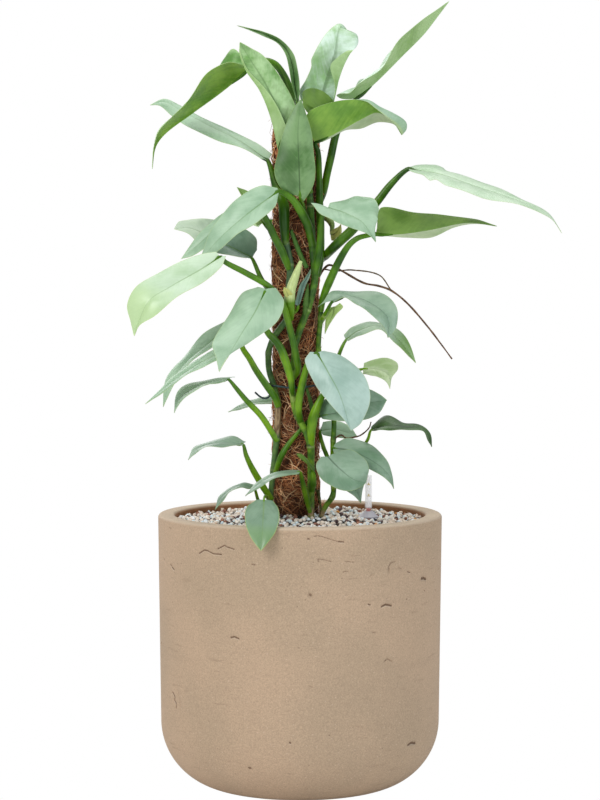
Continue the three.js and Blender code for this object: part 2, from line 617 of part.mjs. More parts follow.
    girth: [3.8, 4.2, 3.8, 2.8],
    rib: [[243, 444, -56], [222, 443, -66], [205, 446, -72], [194, 451, -72], [188, 460, -70]],
    a: [[246, 442, -46], [230, 437, -40], [210, 441, -48], [195, 447, -60]],
    b: [[243, 445, -64], [224, 446, -86], [207, 448, -88], [195, 454, -80]],
    face: [-0.2, -0.1, 1],
  },
  leaf_21: {
    petiole: [[268, 511, -22], [259, 502, -44], [254, 487, -70]],
    girth: [2, 2.2, 1.8],
    rib: [[254, 487, -70], [240, 486, -80], [228, 492, -88], [220, 500, -92], [215, 510, -90]],
    a: [[255, 485, -62], [241, 483, -62], [228, 489, -72], [219, 498, -82]],
    b: [[253, 489, -76], [240, 488, -96], [229, 494, -102], [221, 503, -98]],
    face: [-0.3, 0, 1],
  },
  leaf_22: {
    petiole: [[310, 512, -38], [307, 500, -46], [303, 484, -57], [300, 472, -66]],
    girth: [2.6, 3.6, 3.4, 2.4],
    rib: [[300, 472, -66], [282, 473, -80], [265, 480, -92], [254, 488, -98], [245, 496, -98]],
    a: [[298, 470, -58], [284, 470, -60], [268, 475, -72], [256, 484, -86]],
    b: [[299, 474, -74], [282, 477, -96], [266, 484, -108], [254, 491, -106]],
    face: [-0.3, -0.2, 1],
  },
  leaf_23: {
    petiole: [[270, 507, -24], [268, 499, -60], [266, 496, -100], [264, 498, -135], [264, 500, -148]],
    girth: [2.2, 2.2, 1.8],
    rib: [[264, 500, -148], [263, 520, -168], [262, 537, -183], [261, 551, -190]],
    a: [[256, 500, -146], [247, 507, -152], [245, 520, -168], [249, 534, -182], [256, 545, -188]],
    b: [[273, 501, -146], [278, 509, -152], [279, 520, -168], [274, 534, -182], [266, 545, -188]],
  },
  leaf_24: {
    petiole: [[300, 421, -42], [298.5, 412, -50], [299, 400, -55], [301.5, 388.5, -58], [304.8, 374, -61],
      [309, 362, -64], [317, 353, -67]],
    girth: [4, 4.4, 4.4, 4, 3.2],
    rib: [[317, 353, -68], [328, 372, -84], [340, 395, -92], [351, 431, -86]],
    a: [[310, 352, -64], [305, 361, -68], [314, 382, -80], [330, 404, -92], [344, 420, -92]],
    b: [[324, 351, -64], [345, 357, -68], [364, 376, -76], [370, 398, -84], [362, 422, -88]],
  },
  leaf_25: {
    petiole: [[275, 473, -24], [277.5, 466, -31], [281, 457, -35], [288, 445, -35], [295.5, 435.5, -34],
      [302, 428, -33], [309, 421, -31], [315, 418, -31.5], [320, 416, -38]],
    girth: [3, 3.4, 3.6, 3.2, 2.6, 2.6, 2.6, 2.2],
    rib: [[320, 416, -42], [340, 412, -54], [362, 404, -60], [387, 400, -56]],
    a: [[320, 410, -39], [325, 399, -39], [345, 392, -48], [366, 389, -54], [379, 394, -56]],
    b: [[323, 419, -44], [340, 421, -62], [360, 421, -70], [378, 414, -66]],
  },
  leaf_26: {
    petiole: [[311.5, 445, -41], [311.5, 432, -48], [313.5, 418, -50], [318.5, 404, -50], [325, 392, -47],
      [340, 378, -43], [354, 371, -40], [363, 369, -40]],
    girth: [3.6, 5.2, 5.8, 5, 3.6, 3, 2.8, 2.2],
    rib: [[363, 369, -40], [378, 371, -50], [388, 376, -56], [390, 389, -56]],
    a: [[364, 363, -34], [380, 359, -32], [396, 361, -40], [398, 369, -50], [392, 378, -55]],
    b: [[363, 374, -46], [372, 375, -56], [381, 378, -60], [387, 383, -58]],
    face: [0, 0.6, 0.7],
  },
  leaf_27: {
    petiole: [[329, 388, -26], [335, 368, -32], [340, 352, -34], [346, 340, -34]],
    girth: [2.6, 2.8, 2.2],
    rib: [[346, 340, -34], [358, 331, -38], [380, 326, -40], [400, 341, -40], [416, 363, -36]],
    a: [[344, 335, -28], [352, 327, -26], [372, 323, -24], [396, 328, -30], [408, 340, -34]],
    b: [[348, 341, -42], [360, 336, -50], [380, 329, -54], [396, 344, -50], [408, 356, -42]],
    face: [0, -0.2, 1],
  },
  leaf_28: {
    petiole: [[322, 319, -24], [327, 311, -34], [332, 302, -43]],
    girth: [2.4, 2.4, 1.8],
    rib: [[332, 301, -43], [350, 296, -54], [372, 304, -66], [388, 318, -72], [388, 338, -72]],
    a: [[317.5, 307, -35], [324, 302, -37], [333, 291.5, -38], [356, 291, -44], [380, 292, -54],
      [396, 308, -64], [396, 328, -70]],
    b: [[334, 302, -49], [345, 297, -64], [358, 306, -76], [374, 317, -82], [384, 328, -78]],
    face: [0.3, -0.4, 0.9],
  },
  leaf_29: {
    petiole: [[322, 322, -20], [328, 313, -10], [334, 307, -6]],
    girth: [1.8, 2, 1.6],
    rib: [[334, 307, -6], [333, 314, -4], [329, 323, -4], [325, 334, -6]],
    a: [[340, 303, -8], [343, 307, -2], [337, 314, 2], [330, 323, 0]],
    b: [[328, 307, -10], [326, 315, -8], [325, 324, -8]],
  },
  leaf_30: {
    petiole: [[304, 270, 37], [317, 263, 25], [323, 258, 9], [325.5, 256, -8], [330, 251, -26],
      [338, 243, -37], [352, 230, -43], [376, 203, -44], [392, 183, -47], [408, 169, -50]],
    girth: [4, 4.4, 5, 6, 6.2, 5.4, 4.6, 3],
    rib: [[408, 169, -50], [440, 174, -70], [475, 186, -84], [520, 201, -92], [548, 213, -94],
      [562, 233, -92]],
    a: [[410, 167, -44], [418, 164.6, -38], [435, 162.5, -33], [443, 165.8, -36], [447, 170.5, -38],
      [460, 175, -46], [475, 180, -54], [520, 199, -80], [548, 213, -90]],
    b: [[410, 171, -58], [423, 176.3, -82], [430, 181.7, -93], [436, 180.6, -98], [446, 187, -104],
      [478, 197, -114], [522, 205, -106], [550, 218, -98]],
    face: [0, -0.2, 1],
  },
  leaf_31: {
    petiole: [[321, 311, -23], [322.5, 301, -27], [326, 290, -32], [331.5, 277, -38], [337.5, 264, -43],
      [343.5, 253, -47], [350, 244, -51], [358, 238, -54], [367, 235.5, -56], [376, 234, -56]],
    girth: [3.4, 4.2, 5, 4.8, 4.4, 3.8, 3.2, 2.8],
    rib: [[376, 234, -56], [402, 233, -62], [430, 229, -64], [468, 222, -60], [497, 226, -56]],
    a: [[377, 229, -68], [379.5, 212, -86], [390, 210, -90], [411, 211.5, -89], [440, 213.8, -82],
      [475, 219.5, -68]],
    b: [[380, 236, -46], [405, 237, -34], [430, 236, -32], [455, 229, -40], [475, 224, -50]],
    face: [0, 0.7, 0.7],
  },
  leaf_32: {
    petiole: [[315, 273, -38], [317.5, 262, -44], [319.5, 250, -48], [320.5, 238, -51], [321, 226, -54],
      [323, 215, -58], [328, 209, -62]],
    girth: [4.2, 4.4, 4.2, 4, 3.6, 3, 2.4],
    rib: [[328, 208, -62], [345, 213, -74], [363, 223, -82], [376, 242, -80]],
    a: [[330, 203, -58], [346, 200, -60], [358, 195, -62], [374, 199, -68], [379, 212, -74],
      [375, 227, -78]],
    b: [[311, 203, -66], [322, 214, -76], [344, 226, -88], [366, 233, -88]],
  },
  leaf_33: {
    petiole: [[307, 228, 37], [316, 220, 33], [325, 217, 22], [332, 225, 11], [331, 234, 5.5]],
    girth: [2.6, 3.8, 4.8, 3.6],
    rib: [[330.5, 235, 5], [334.5, 234, 3], [338.5, 229.5, 0], [341, 224, -2]],
    a: [[330, 232, 5], [334, 229, 3], [338, 227, 1]],
    b: [[331.5, 240.5, 4], [336, 240.5, 1], [341.5, 234, -2]],
  },
  leaf_34: {
    shoot: true,
    petiole: [[291, 319, -38], [290.5, 311, -46], [289.5, 303, -51], [290.5, 291, -54], [295.5, 276, -53],
      [301, 261, -52]],
    girth: [3.4, 5.4, 7, 6.2, 5.4, 4.2, 2.2],
    rib: [[290, 300, -56], [288, 295, -60], [286, 291, -62], [284, 286.8, -62]],
    a: [[294, 297, -56], [292, 293, -60], [289, 290, -62]],
    b: [[288, 299, -57], [284.5, 295, -60], [283.2, 291, -62]],
  },
  leaf_35: {
    petiole: [[333, 480, -29], [330, 470, -50], [328, 457, -73]],
    girth: [2.4, 2.4, 2],
    rib: [[328, 457, -74], [340, 469, -90], [353, 479, -97], [366, 483, -90]],
    a: [[333, 454, -72], [350, 450, -72], [364, 457, -77], [368, 468, -84], [367, 478, -88]],
    b: [[321, 457, -73], [316, 466, -80], [322, 479, -92], [336, 489, -104], [350, 491, -106],
      [361, 487, -98]],
  },
  leaf_36: {
    petiole: [[333, 459, -27], [333, 448, -39]],
    girth: [2.2, 2],
    rib: [[333, 448, -39], [352, 451, -52], [374, 462, -60], [388, 474, -62], [394, 489, -60]],
    a: [[336, 443, -36], [350, 438, -38], [372, 445, -42], [386, 460, -52], [392, 475, -58]],
    b: [[334, 453, -44], [348, 462, -58], [368, 469, -64], [382, 476, -66], [391, 484, -62]],
  },
  leaf_37: {
    petiole: [[333, 490, -28], [336, 484, -40], [339, 478, -50]],
    girth: [2, 2, 1.6],
    rib: [[339, 478, -50], [349, 486, -58], [357, 492, -60], [361, 503, -60]],
    a: [[342, 472, -44], [356, 474, -48], [364, 480, -54], [362, 492, -58]],
    b: [[337, 483, -54], [345, 490, -64], [354, 496, -64]],
  },
  leaf_38: {
    petiole: [[334, 463, -22], [347, 456, -18], [362, 447, -22], [368, 439, -36], [371, 430, -50]],
    girth: [2.2, 2.2, 2.2, 1.8],
    rib: [[371, 430, -50], [386, 426, -62], [404, 426, -70], [424, 429, -74], [432, 447, -72]],
    a: [[372, 426, -42], [385, 416, -38], [402, 423, -50], [418, 424, -58], [430, 432, -66]],
    b: [[374, 431, -58], [388, 430, -80], [404, 429, -88], [422, 431, -86], [427, 440, -80]],
    face: [0.1, 0, 1],
  },
  leaf_39: {
    petiole: [[331, 468, -22], [327, 456, -20], [322.5, 444, -17], [320, 431, -15]],
    girth: [2.6, 2.8, 2.8, 2.2],
    rib: [[320, 431, -15], [334, 429, -8], [346, 432, -4], [357, 436, -2]],
    a: [[323, 422, -10], [338, 421, 0], [350, 427, 2]],
    b: [[323, 435, -18], [334, 437, -14], [347, 439, -8]],
  },
  leaf_40: {
    petiole: [[312, 491, -38], [313, 481, -43], [313, 471, -44]],
    girth: [3.6, 4.6, 3.2],
    rib: [[313, 472, -44], [308, 464.5, -49], [303, 458, -50], [296.3, 453.5, -50]],
    a: [[315.5, 469, -43], [310.8, 463.3, -46], [306, 457.7, -48], [301.5, 454, -49]],
    b: [[310, 470.8, -42], [308, 465.2, -46], [303.3, 461, -49], [298.7, 457.3, -50]],
    face: [-0.6, 0, -0.8],
  },
  leaf_41: {
    petiole: [[289, 269, -36], [282, 252, -43], [276, 240, -46], [263, 214, -56], [253, 205, -58]],
    girth: [4, 4.8, 4.6, 3.2],
    rib: [[253, 205, -57], [225, 222, -50], [200, 243, -44], [181, 259, -40]],
    a: [[248, 200, -50], [228, 210, -42], [212, 222, -38], [196, 238, -38]],
    b: [[250, 212, -64], [230, 230, -62], [208, 246, -54], [192, 256, -46]],
  },
  leaf_42: {
    petiole: [[291.5, 314, -35], [296, 311, -38.5], [298, 307, -43]],
    girth: [2, 2.2, 1.8],
    rib: [[298, 306, -45], [302.8, 286, -45], [307.7, 277, -45], [311, 269, -46]],
    a: [[294.5, 304, -47], [299.6, 286, -49], [305.6, 277, -48]],
    b: [[300, 303, -44], [306, 285, -45], [310, 276, -46]],
  },
  leaf_43: {
    petiole: [[303, 208, 37], [299, 188, 60], [297, 165, 80]],
    girth: [3.4, 3.4, 2.8],
    rib: [[297, 165, 80], [296, 160, 120], [296, 172, 160], [296, 196, 186]],
    a: [[290, 168, 78], [277, 165, 100], [276, 171, 140], [286, 187, 174]],
    b: [[304, 168, 78], [315, 165, 100], [316, 171, 140], [306, 187, 174]],
    face: [0, -0.2, 1],
  },
  leaf_44: {
    petiole: [[303, 348, 37], [302, 333, 60], [300, 318, 84]],
    girth: [3.4, 3.4, 2.8],
    rib: [[300, 318, 84], [298, 318, 120], [297, 332, 160], [297, 360, 190]],
    a: [[293, 320, 82], [281, 322, 110], [280, 336, 150], [288, 352, 180]],
    b: [[307, 320, 82], [316, 322, 110], [315, 336, 150], [306, 352, 180]],
    face: [0, -0.2, 1],
  },
  leaf_45: {
    petiole: [[301, 330, 38], [289, 318, 54], [277, 308, 72]],
    girth: [3, 3, 2.6],
    rib: [[277, 308, 72], [265, 306, 105], [255, 315, 140], [248, 332, 165]],
    a: [[276, 301, 72], [262, 296, 100], [250, 303, 140], [243, 320, 163]],
    b: [[281, 314, 72], [277, 317, 105], [268, 327, 140], [256, 336, 163]],
    face: [0, -0.2, 1],
  },
  leaf_46: {
    petiole: [[305, 402, 37], [318, 389, 55], [328, 376, 75]],
    girth: [3, 3, 2.6],
    rib: [[328, 376, 75], [338, 374, 110], [347, 384, 145], [352, 402, 165]],
    a: [[326, 369, 74], [338, 364, 105], [352, 372, 145], [357, 392, 163]],
    b: [[330, 384, 74], [336, 388, 110], [342, 396, 145], [347, 406, 160]],
    face: [0, -0.2, 1],
  },
};

const BLADE_STATIONS = [0, 0.1, 0.28, 0.52, 0.78, 1];
const BLADE_COLUMNS = [-1, -0.5, 0, 0.5, 1];
const CAMBER = 0.07;

// The blade's middle surface, as rows of points across from edge a to edge b.
function bladeRows(spec) {
  const tip = at(spec.rib[spec.rib.length - 1]);
  const rib = curve(spec.rib.map(at));
  const edges = { a: curve([...spec.a.map(at), tip]), b: curve([...spec.b.map(at), tip]) };
  const folds = {
    a: spec.fold_a ? curve([...spec.fold_a.map(at), tip]) : null,
    b: spec.fold_b ? curve([...spec.fold_b.map(at), tip]) : null,
  };
  const face = new THREE.Vector3(...(spec.face ?? [0, -1, 0]));
  const rows = [];
  for (const station of BLADE_STATIONS.slice(0, -1)) {
    const middle = rib(station);
    const along = rib(Math.min(station + 0.02, 1)).sub(middle).normalize();
    const across = edges.b(station).sub(edges.a(station));
    const lift = along.clone().cross(across).normalize();
    if (lift.dot(face) < 0) {
      lift.negate();
    }
    rows.push(BLADE_COLUMNS.map((column) => {
      const half = column < 0 ? "a" : "b";
      const share = Math.abs(column);
      const edge = edges[half](station);
      if (share === 0.5 && folds[half]) {
        return folds[half](station);
      }
      const bulge = 4 * share * (1 - share) * CAMBER * edge.distanceTo(middle);
      return middle.clone().lerp(edge, share).addScaledVector(lift, bulge);
    }));
  }
  return { rows, tip, rib };
}

function blade(spec) {
  const { rows, tip, rib } = bladeRows(spec);
  const columns = BLADE_COLUMNS.length;
  const surface = [...rows.flat(), tip];
  const quads = [];
  for (let row = 0; row < rows.length - 1; row++) {
    for (let column = 0; column < columns - 1; column++) {
      const a = row * columns + column;
      const b = a + 1;
      const c = a + columns;
      const d = c + 1;
      quads.push(column < 2 ? [a, b, d] : [a, b, c], column < 2 ? [a, d, c] : [b, d, c]);
    }
  }
  const lastRow = (rows.length - 1) * columns;
  for (let column = 0; column < columns - 1; column++) {
    quads.push([lastRow + column, lastRow + column + 1, surface.length - 1]);
  }
  const normals = surface.map(() => new THREE.Vector3());
  for (const [a, b, c] of quads) {
    const normal = surface[b].clone().sub(surface[a]).cross(surface[c].clone().sub(surface[a]));
    normals[a].add(normal);
    normals[b].add(normal);
    normals[c].add(normal);
  }
  normals.forEach((normal) => normal.normalize());
  const half = BLADE_THICKNESS / 2;
  const positions = [
    ...surface.map((point, i) => point.clone().addScaledVector(normals[i], half)),
    ...surface.map((point, i) => point.clone().addScaledVector(normals[i], -half)),
  ];
  const under = surface.length;
  const triangles = quads.flatMap(([a, b, c]) => [[a, b, c], [a + under, c + under, b + under]]);
  const rim = [];
  for (let column = 0; column < columns; column++) {
    rim.push(column);
  }
  for (let row = 1; row < rows.length; row++) {
    rim.push(row * columns + columns - 1);
  }
  rim.push(surface.length - 1);
  for (let row = rows.length - 1; row > 0; row--) {
    rim.push(row * columns);
  }
  rim.forEach((from, i) => {
    const to = rim[(i + 1) % rim.length];
    triangles.push([from, from + under, to], [to, from + under, to + under]);
  });
  return { solid: solidFrom(positions, triangles), rib };
}

const leafNodes = Object.entries(leaves).map(([name, spec]) => {
  const { solid, rib } = blade(spec);
  const path = spec.petiole.map(at);
  const girth = [...spec.girth];
  if (!spec.shoot) {
    path.push(rib(0.14));
    girth.push(0.9);
  }
  let leaf = solid.add(tube(path, girth, PETIOLE_SIDES, path.length > 3 ? 0 : 3));
  for (const cutter of [poleCutter, ...stemCutters]) {
    leaf = leaf.subtract(cutter);
  }
  return [name, largestBody(leaf.simplify(SIMPLIFY))];
});

const LEAF_COLOURS = {
  leaf_01: "#86ad60", leaf_03: "#6f9463", leaf_06: "#9fbf7c", leaf_07: "#76a044", leaf_08: "#4f8228",
  leaf_11: "#c4dcbf", leaf_15: "#b0d1ba", leaf_16: "#86a95f", leaf_24: "#acc9bb", leaf_31: "#658440",
  leaf_29: "#a5c66a", leaf_33: "#c8c070", leaf_34: "#b6c882", leaf_40: "#78a545", leaf_26: "#b9c69b",
};
for (const [name, solid] of leafNodes) {
  addPart(name, solid, LEAF_COLOURS[name] ?? "#9fc3a6", 0.45);
}

export default parts;
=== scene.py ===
import math

import bmesh
import bpy
import numpy as np
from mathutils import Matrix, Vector


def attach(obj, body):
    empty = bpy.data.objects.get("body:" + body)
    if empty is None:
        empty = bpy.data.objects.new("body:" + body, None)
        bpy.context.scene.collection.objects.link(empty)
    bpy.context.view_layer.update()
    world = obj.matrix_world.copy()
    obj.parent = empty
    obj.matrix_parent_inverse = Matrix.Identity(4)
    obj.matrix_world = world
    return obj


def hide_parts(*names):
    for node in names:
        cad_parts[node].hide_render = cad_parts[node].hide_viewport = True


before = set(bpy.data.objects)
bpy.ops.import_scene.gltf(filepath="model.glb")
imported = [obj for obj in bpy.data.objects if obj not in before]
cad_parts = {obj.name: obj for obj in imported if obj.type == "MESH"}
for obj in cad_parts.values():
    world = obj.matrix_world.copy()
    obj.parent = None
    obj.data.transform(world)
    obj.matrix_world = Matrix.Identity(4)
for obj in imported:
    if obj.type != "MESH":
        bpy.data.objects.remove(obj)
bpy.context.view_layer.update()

scene = bpy.context.scene
scene.view_settings.view_transform = "Standard"
MM = 0.001


# Camera and studio. The view is the photograph's: a long lens 3.5 m in front of the pot and a little
# above it. The object stands on a white floor lit up to pure white, in soft light from large lamps.
EYE = Vector((0, -3.5, 0.70))
AIM = Vector((0, 0, 0.479))
FRAME_CENTRE = (300, 400)
FOCAL_PIXELS = 2846
FRAME_HEIGHT = 800
SENSOR_HEIGHT = 36

camera_data = bpy.data.cameras.new("front_camera")
camera_data.sensor_fit = "VERTICAL"
camera_data.sensor_height = SENSOR_HEIGHT
camera_data.lens = SENSOR_HEIGHT * FOCAL_PIXELS / FRAME_HEIGHT
camera = bpy.data.objects.new("front_camera", camera_data)
camera.location = EYE
camera.rotation_euler = (AIM - EYE).to_track_quat("-Z", "Y").to_euler()
scene.collection.objects.link(camera)
scene.camera = camera

LAMP_AIM = Vector((0, 0, 0.45))
LAMPS = {
    "key": dict(place=(-1.9, -2.5, 2.2), size=1.5, power=54),
    "fill": dict(place=(2.4, -2.2, 1.3), size=2.0, power=26, colour=(0.86, 0.93, 1)),
    "top": dict(place=(0.1, 0.5, 3.2), size=2.4, power=44),
    "back": dict(place=(-1.2, 2.8, 1.6), size=2.0, power=20),
}
for lamp_name, lamp in LAMPS.items():
    lamp_data = bpy.data.lights.new(lamp_name, "AREA")
    lamp_data.size = lamp["size"]
    lamp_data.energy = lamp["power"]
    lamp_data.color = lamp.get("colour", (1, 1, 1))
    lamp_object = bpy.data.objects.new(lamp_name, lamp_data)
    lamp_object.location = lamp["place"]
    aim = LAMP_AIM - Vector(lamp["place"])
    lamp_object.rotation_euler = aim.to_track_quat("-Z", "Y").to_euler()
    scene.collection.objects.link(lamp_object)


def add(tree, kind, inputs=None, **settings):
    """Adds a node. Inputs are values or sockets to link, and settings are the node's own properties."""
    made = tree.nodes.new(kind)
    for name, value in settings.items():
        setattr(made, name, value)
    for key, value in (inputs or {}).items():
        if isinstance(value, bpy.types.NodeSocket):
            tree.links.new(value, made.inputs[key])
        else:
            made.inputs[key].default_value = value
    return made


def seen_by_camera(lighting, seen):
    """Lights the scene with one shader and shows the camera another."""
    tree = lighting.id_data
    path = add(tree, "ShaderNodeLightPath")
    inputs = {0: path.outputs["Is Camera Ray"], 1: lighting.outputs[0], 2: seen.outputs[0]}
    return add(tree, "ShaderNodeMixShader", inputs).outputs[0]


world = bpy.data.worlds.new("white_studio")
world.use_nodes = True
sky = world.node_tree
sky.nodes.clear()
seen = add(sky, "ShaderNodeBackground", {"Color": (1, 1, 1, 1), "Strength": 1.0})
lighting = add(sky, "ShaderNodeBackground", {"Color": (0.95, 0.98, 1, 1), "Strength": 0.38})
add(sky, "ShaderNodeOutputWorld", {"Surface": seen_by_camera(lighting, seen)})
scene.world = world


def plain(red, green, blue):
    """A screen colour, 0 to 255, as the linear colour a shader takes."""
    parts = [c / 255 for c in (red, green, blue)]
    linear = [c / 12.92 if c <= 0.04045 else ((c + 0.055) / 1.055) ** 2.4 for c in parts]
    return (*linear, 1)


def new_material(name, **sockets):
    """A Principled material. Constant values go straight on the shader's own sockets."""
    made = bpy.data.materials.new(name)
    made.use_nodes = True
    shader = made.node_tree.nodes["Principled BSDF"]
    for socket, value in sockets.items():
        shader.inputs[socket.replace("_", " ")].default_value = value
    return made, made.node_tree, shader


def new_object(name, points, faces, materials, face_materials=None, values=None, smooth=True):
    """A mesh object at the origin. Values are numbers kept at each point for the materials."""
    mesh = bpy.data.meshes.new(name)
    mesh.from_pydata(np.asarray(points).tolist(), [], faces)
    for material in materials:
        mesh.materials.append(material)
    if face_materials is not None:
        mesh.polygons.foreach_set("material_index", np.asarray(face_materials, np.int32))
    for value_name, numbers in (values or {}).items():
        attribute = mesh.attributes.new(value_name, "FLOAT", "POINT")
        attribute.data.foreach_set("value", np.asarray(numbers, np.float32))
    if smooth:
        mesh.shade_smooth()
    made = bpy.data.objects.new(name, mesh)
    scene.collection.objects.link(made)
    return made


FLOOR_HALF = 15
floor_material, floor_tree, floor_shader = new_material(
    "floor_white", Base_Color=(0.8, 0.8, 0.8, 1), Roughness=0.9, Emission_Color=(1, 1, 1, 1),
    Emission_Strength=0.12)
bright = add(floor_tree, "ShaderNodeEmission", {"Color": (1, 1, 1, 1), "Strength": 1.0})
floor_material.cycles.emission_sampling = "NONE"
floor_output = floor_tree.nodes["Material Output"]
floor_tree.links.new(seen_by_camera(floor_shader, bright), floor_output.inputs["Surface"])
floor = new_object(
    "floor",
    [(-FLOOR_HALF, -FLOOR_HALF, 0), (FLOOR_HALF, -FLOOR_HALF, 0),
     (FLOOR_HALF, FLOOR_HALF, 0), (-FLOOR_HALF, FLOOR_HALF, 0)],
    [(0, 1, 2, 3)], [floor_material])


# Pot. A thick shell cast in one piece from a sandy stone mix, with a rounded foot and a soft lip.
# The mix left pores, short tears and scuffs in the skin, which is otherwise fine and matte.
POT_RADIUS = 175 * MM
POT_HEIGHT = 339 * MM
POT_WALL = 21 * MM
POT_FLOOR = 26 * MM
POT_CORNER = 84 * MM
POT_WAIST = 172 * MM
LIP_ROUND = 4 * MM
POT_SEGMENTS = 352
POT_STEP = 3.1 * MM


def arc(across, up, radius, start, end, steps):
    """Points of a profile along a round, as (distance from the axis, height)."""
    angles = np.radians(np.linspace(start, end, steps + 1))
    return [(across + radius * math.cos(a), up + radius * math.sin(a)) for a in angles]


def straight(start, end, steps):
    """Points strictly between two points of a profile."""
    return [tuple(np.array(start) + (np.array(end) - np.array(start)) * i / steps) for i in range(1, steps)]


def lathe(profile, segments, centre=(0, 0)):
    """A closed surface turned round a vertical axis. A profile ends on the axis or meets itself."""
    points = []
    rings = []
    for radius, height in profile:
        if radius < 1e-7:
            rings.append([len(points)])
            points.append((centre[0], centre[1], height))
            continue
        rings.append(list(range(len(points), len(points) + segments)))
        for k in range(segments):
            angle = 2 * math.pi * k / segments
            x = centre[0] + radius * math.cos(angle)
            y = centre[1] + radius * math.sin(angle)
            points.append((x, y, height))
    pairs = list(zip(rings, rings[1:]))
    if len(rings[0]) > 1:
        pairs.append((rings[-1], rings[0]))
    faces = []
    for low, high in pairs:
        for k in range(segments):
            n = (k + 1) % segments
            if len(low) == 1:
                faces.append((low[0], high[n], high[k]))
            elif len(high) == 1:
                faces.append((low[k], low[n], high[0]))
            else:
                faces.append((low[k], low[n], high[n], high[k]))
    return points, faces


pot_inner = POT_RADIUS - POT_WALL
inner_corner = POT_CORNER - POT_WALL
foot_start = (POT_WAIST - POT_CORNER, 0)
wall_foot = (POT_WAIST, POT_CORNER)
wall_top = (POT_RADIUS, POT_HEIGHT - LIP_ROUND)
inner_top = (pot_inner, POT_HEIGHT - LIP_ROUND)
inner_foot = (pot_inner, POT_FLOOR + inner_corner)
pot_profile = [
    (0, 0), *straight((0, 0), foot_start, 8),
    *arc(POT_WAIST - POT_CORNER, POT_CORNER, POT_CORNER, -90, 0, 42),
    *straight(wall_foot, wall_top, round((wall_top[1] - wall_foot[1]) / POT_STEP)),
    *arc(POT_RADIUS - LIP_ROUND, POT_HEIGHT - LIP_ROUND, LIP_ROUND, 0, 90, 6),
    *straight((POT_RADIUS - LIP_ROUND, POT_HEIGHT), (pot_inner + LIP_ROUND, POT_HEIGHT), 3),
    *arc(pot_inner + LIP_ROUND, POT_HEIGHT - LIP_ROUND, LIP_ROUND, 90, 180, 6),
    *straight(inner_top, inner_foot, 14),
    *arc(pot_inner - inner_corner, POT_FLOOR + inner_corner, inner_corner, 0, -90, 8),
    *straight((pot_inner - inner_corner, POT_FLOOR), (0, POT_FLOOR), 4), (0, POT_FLOOR),
]

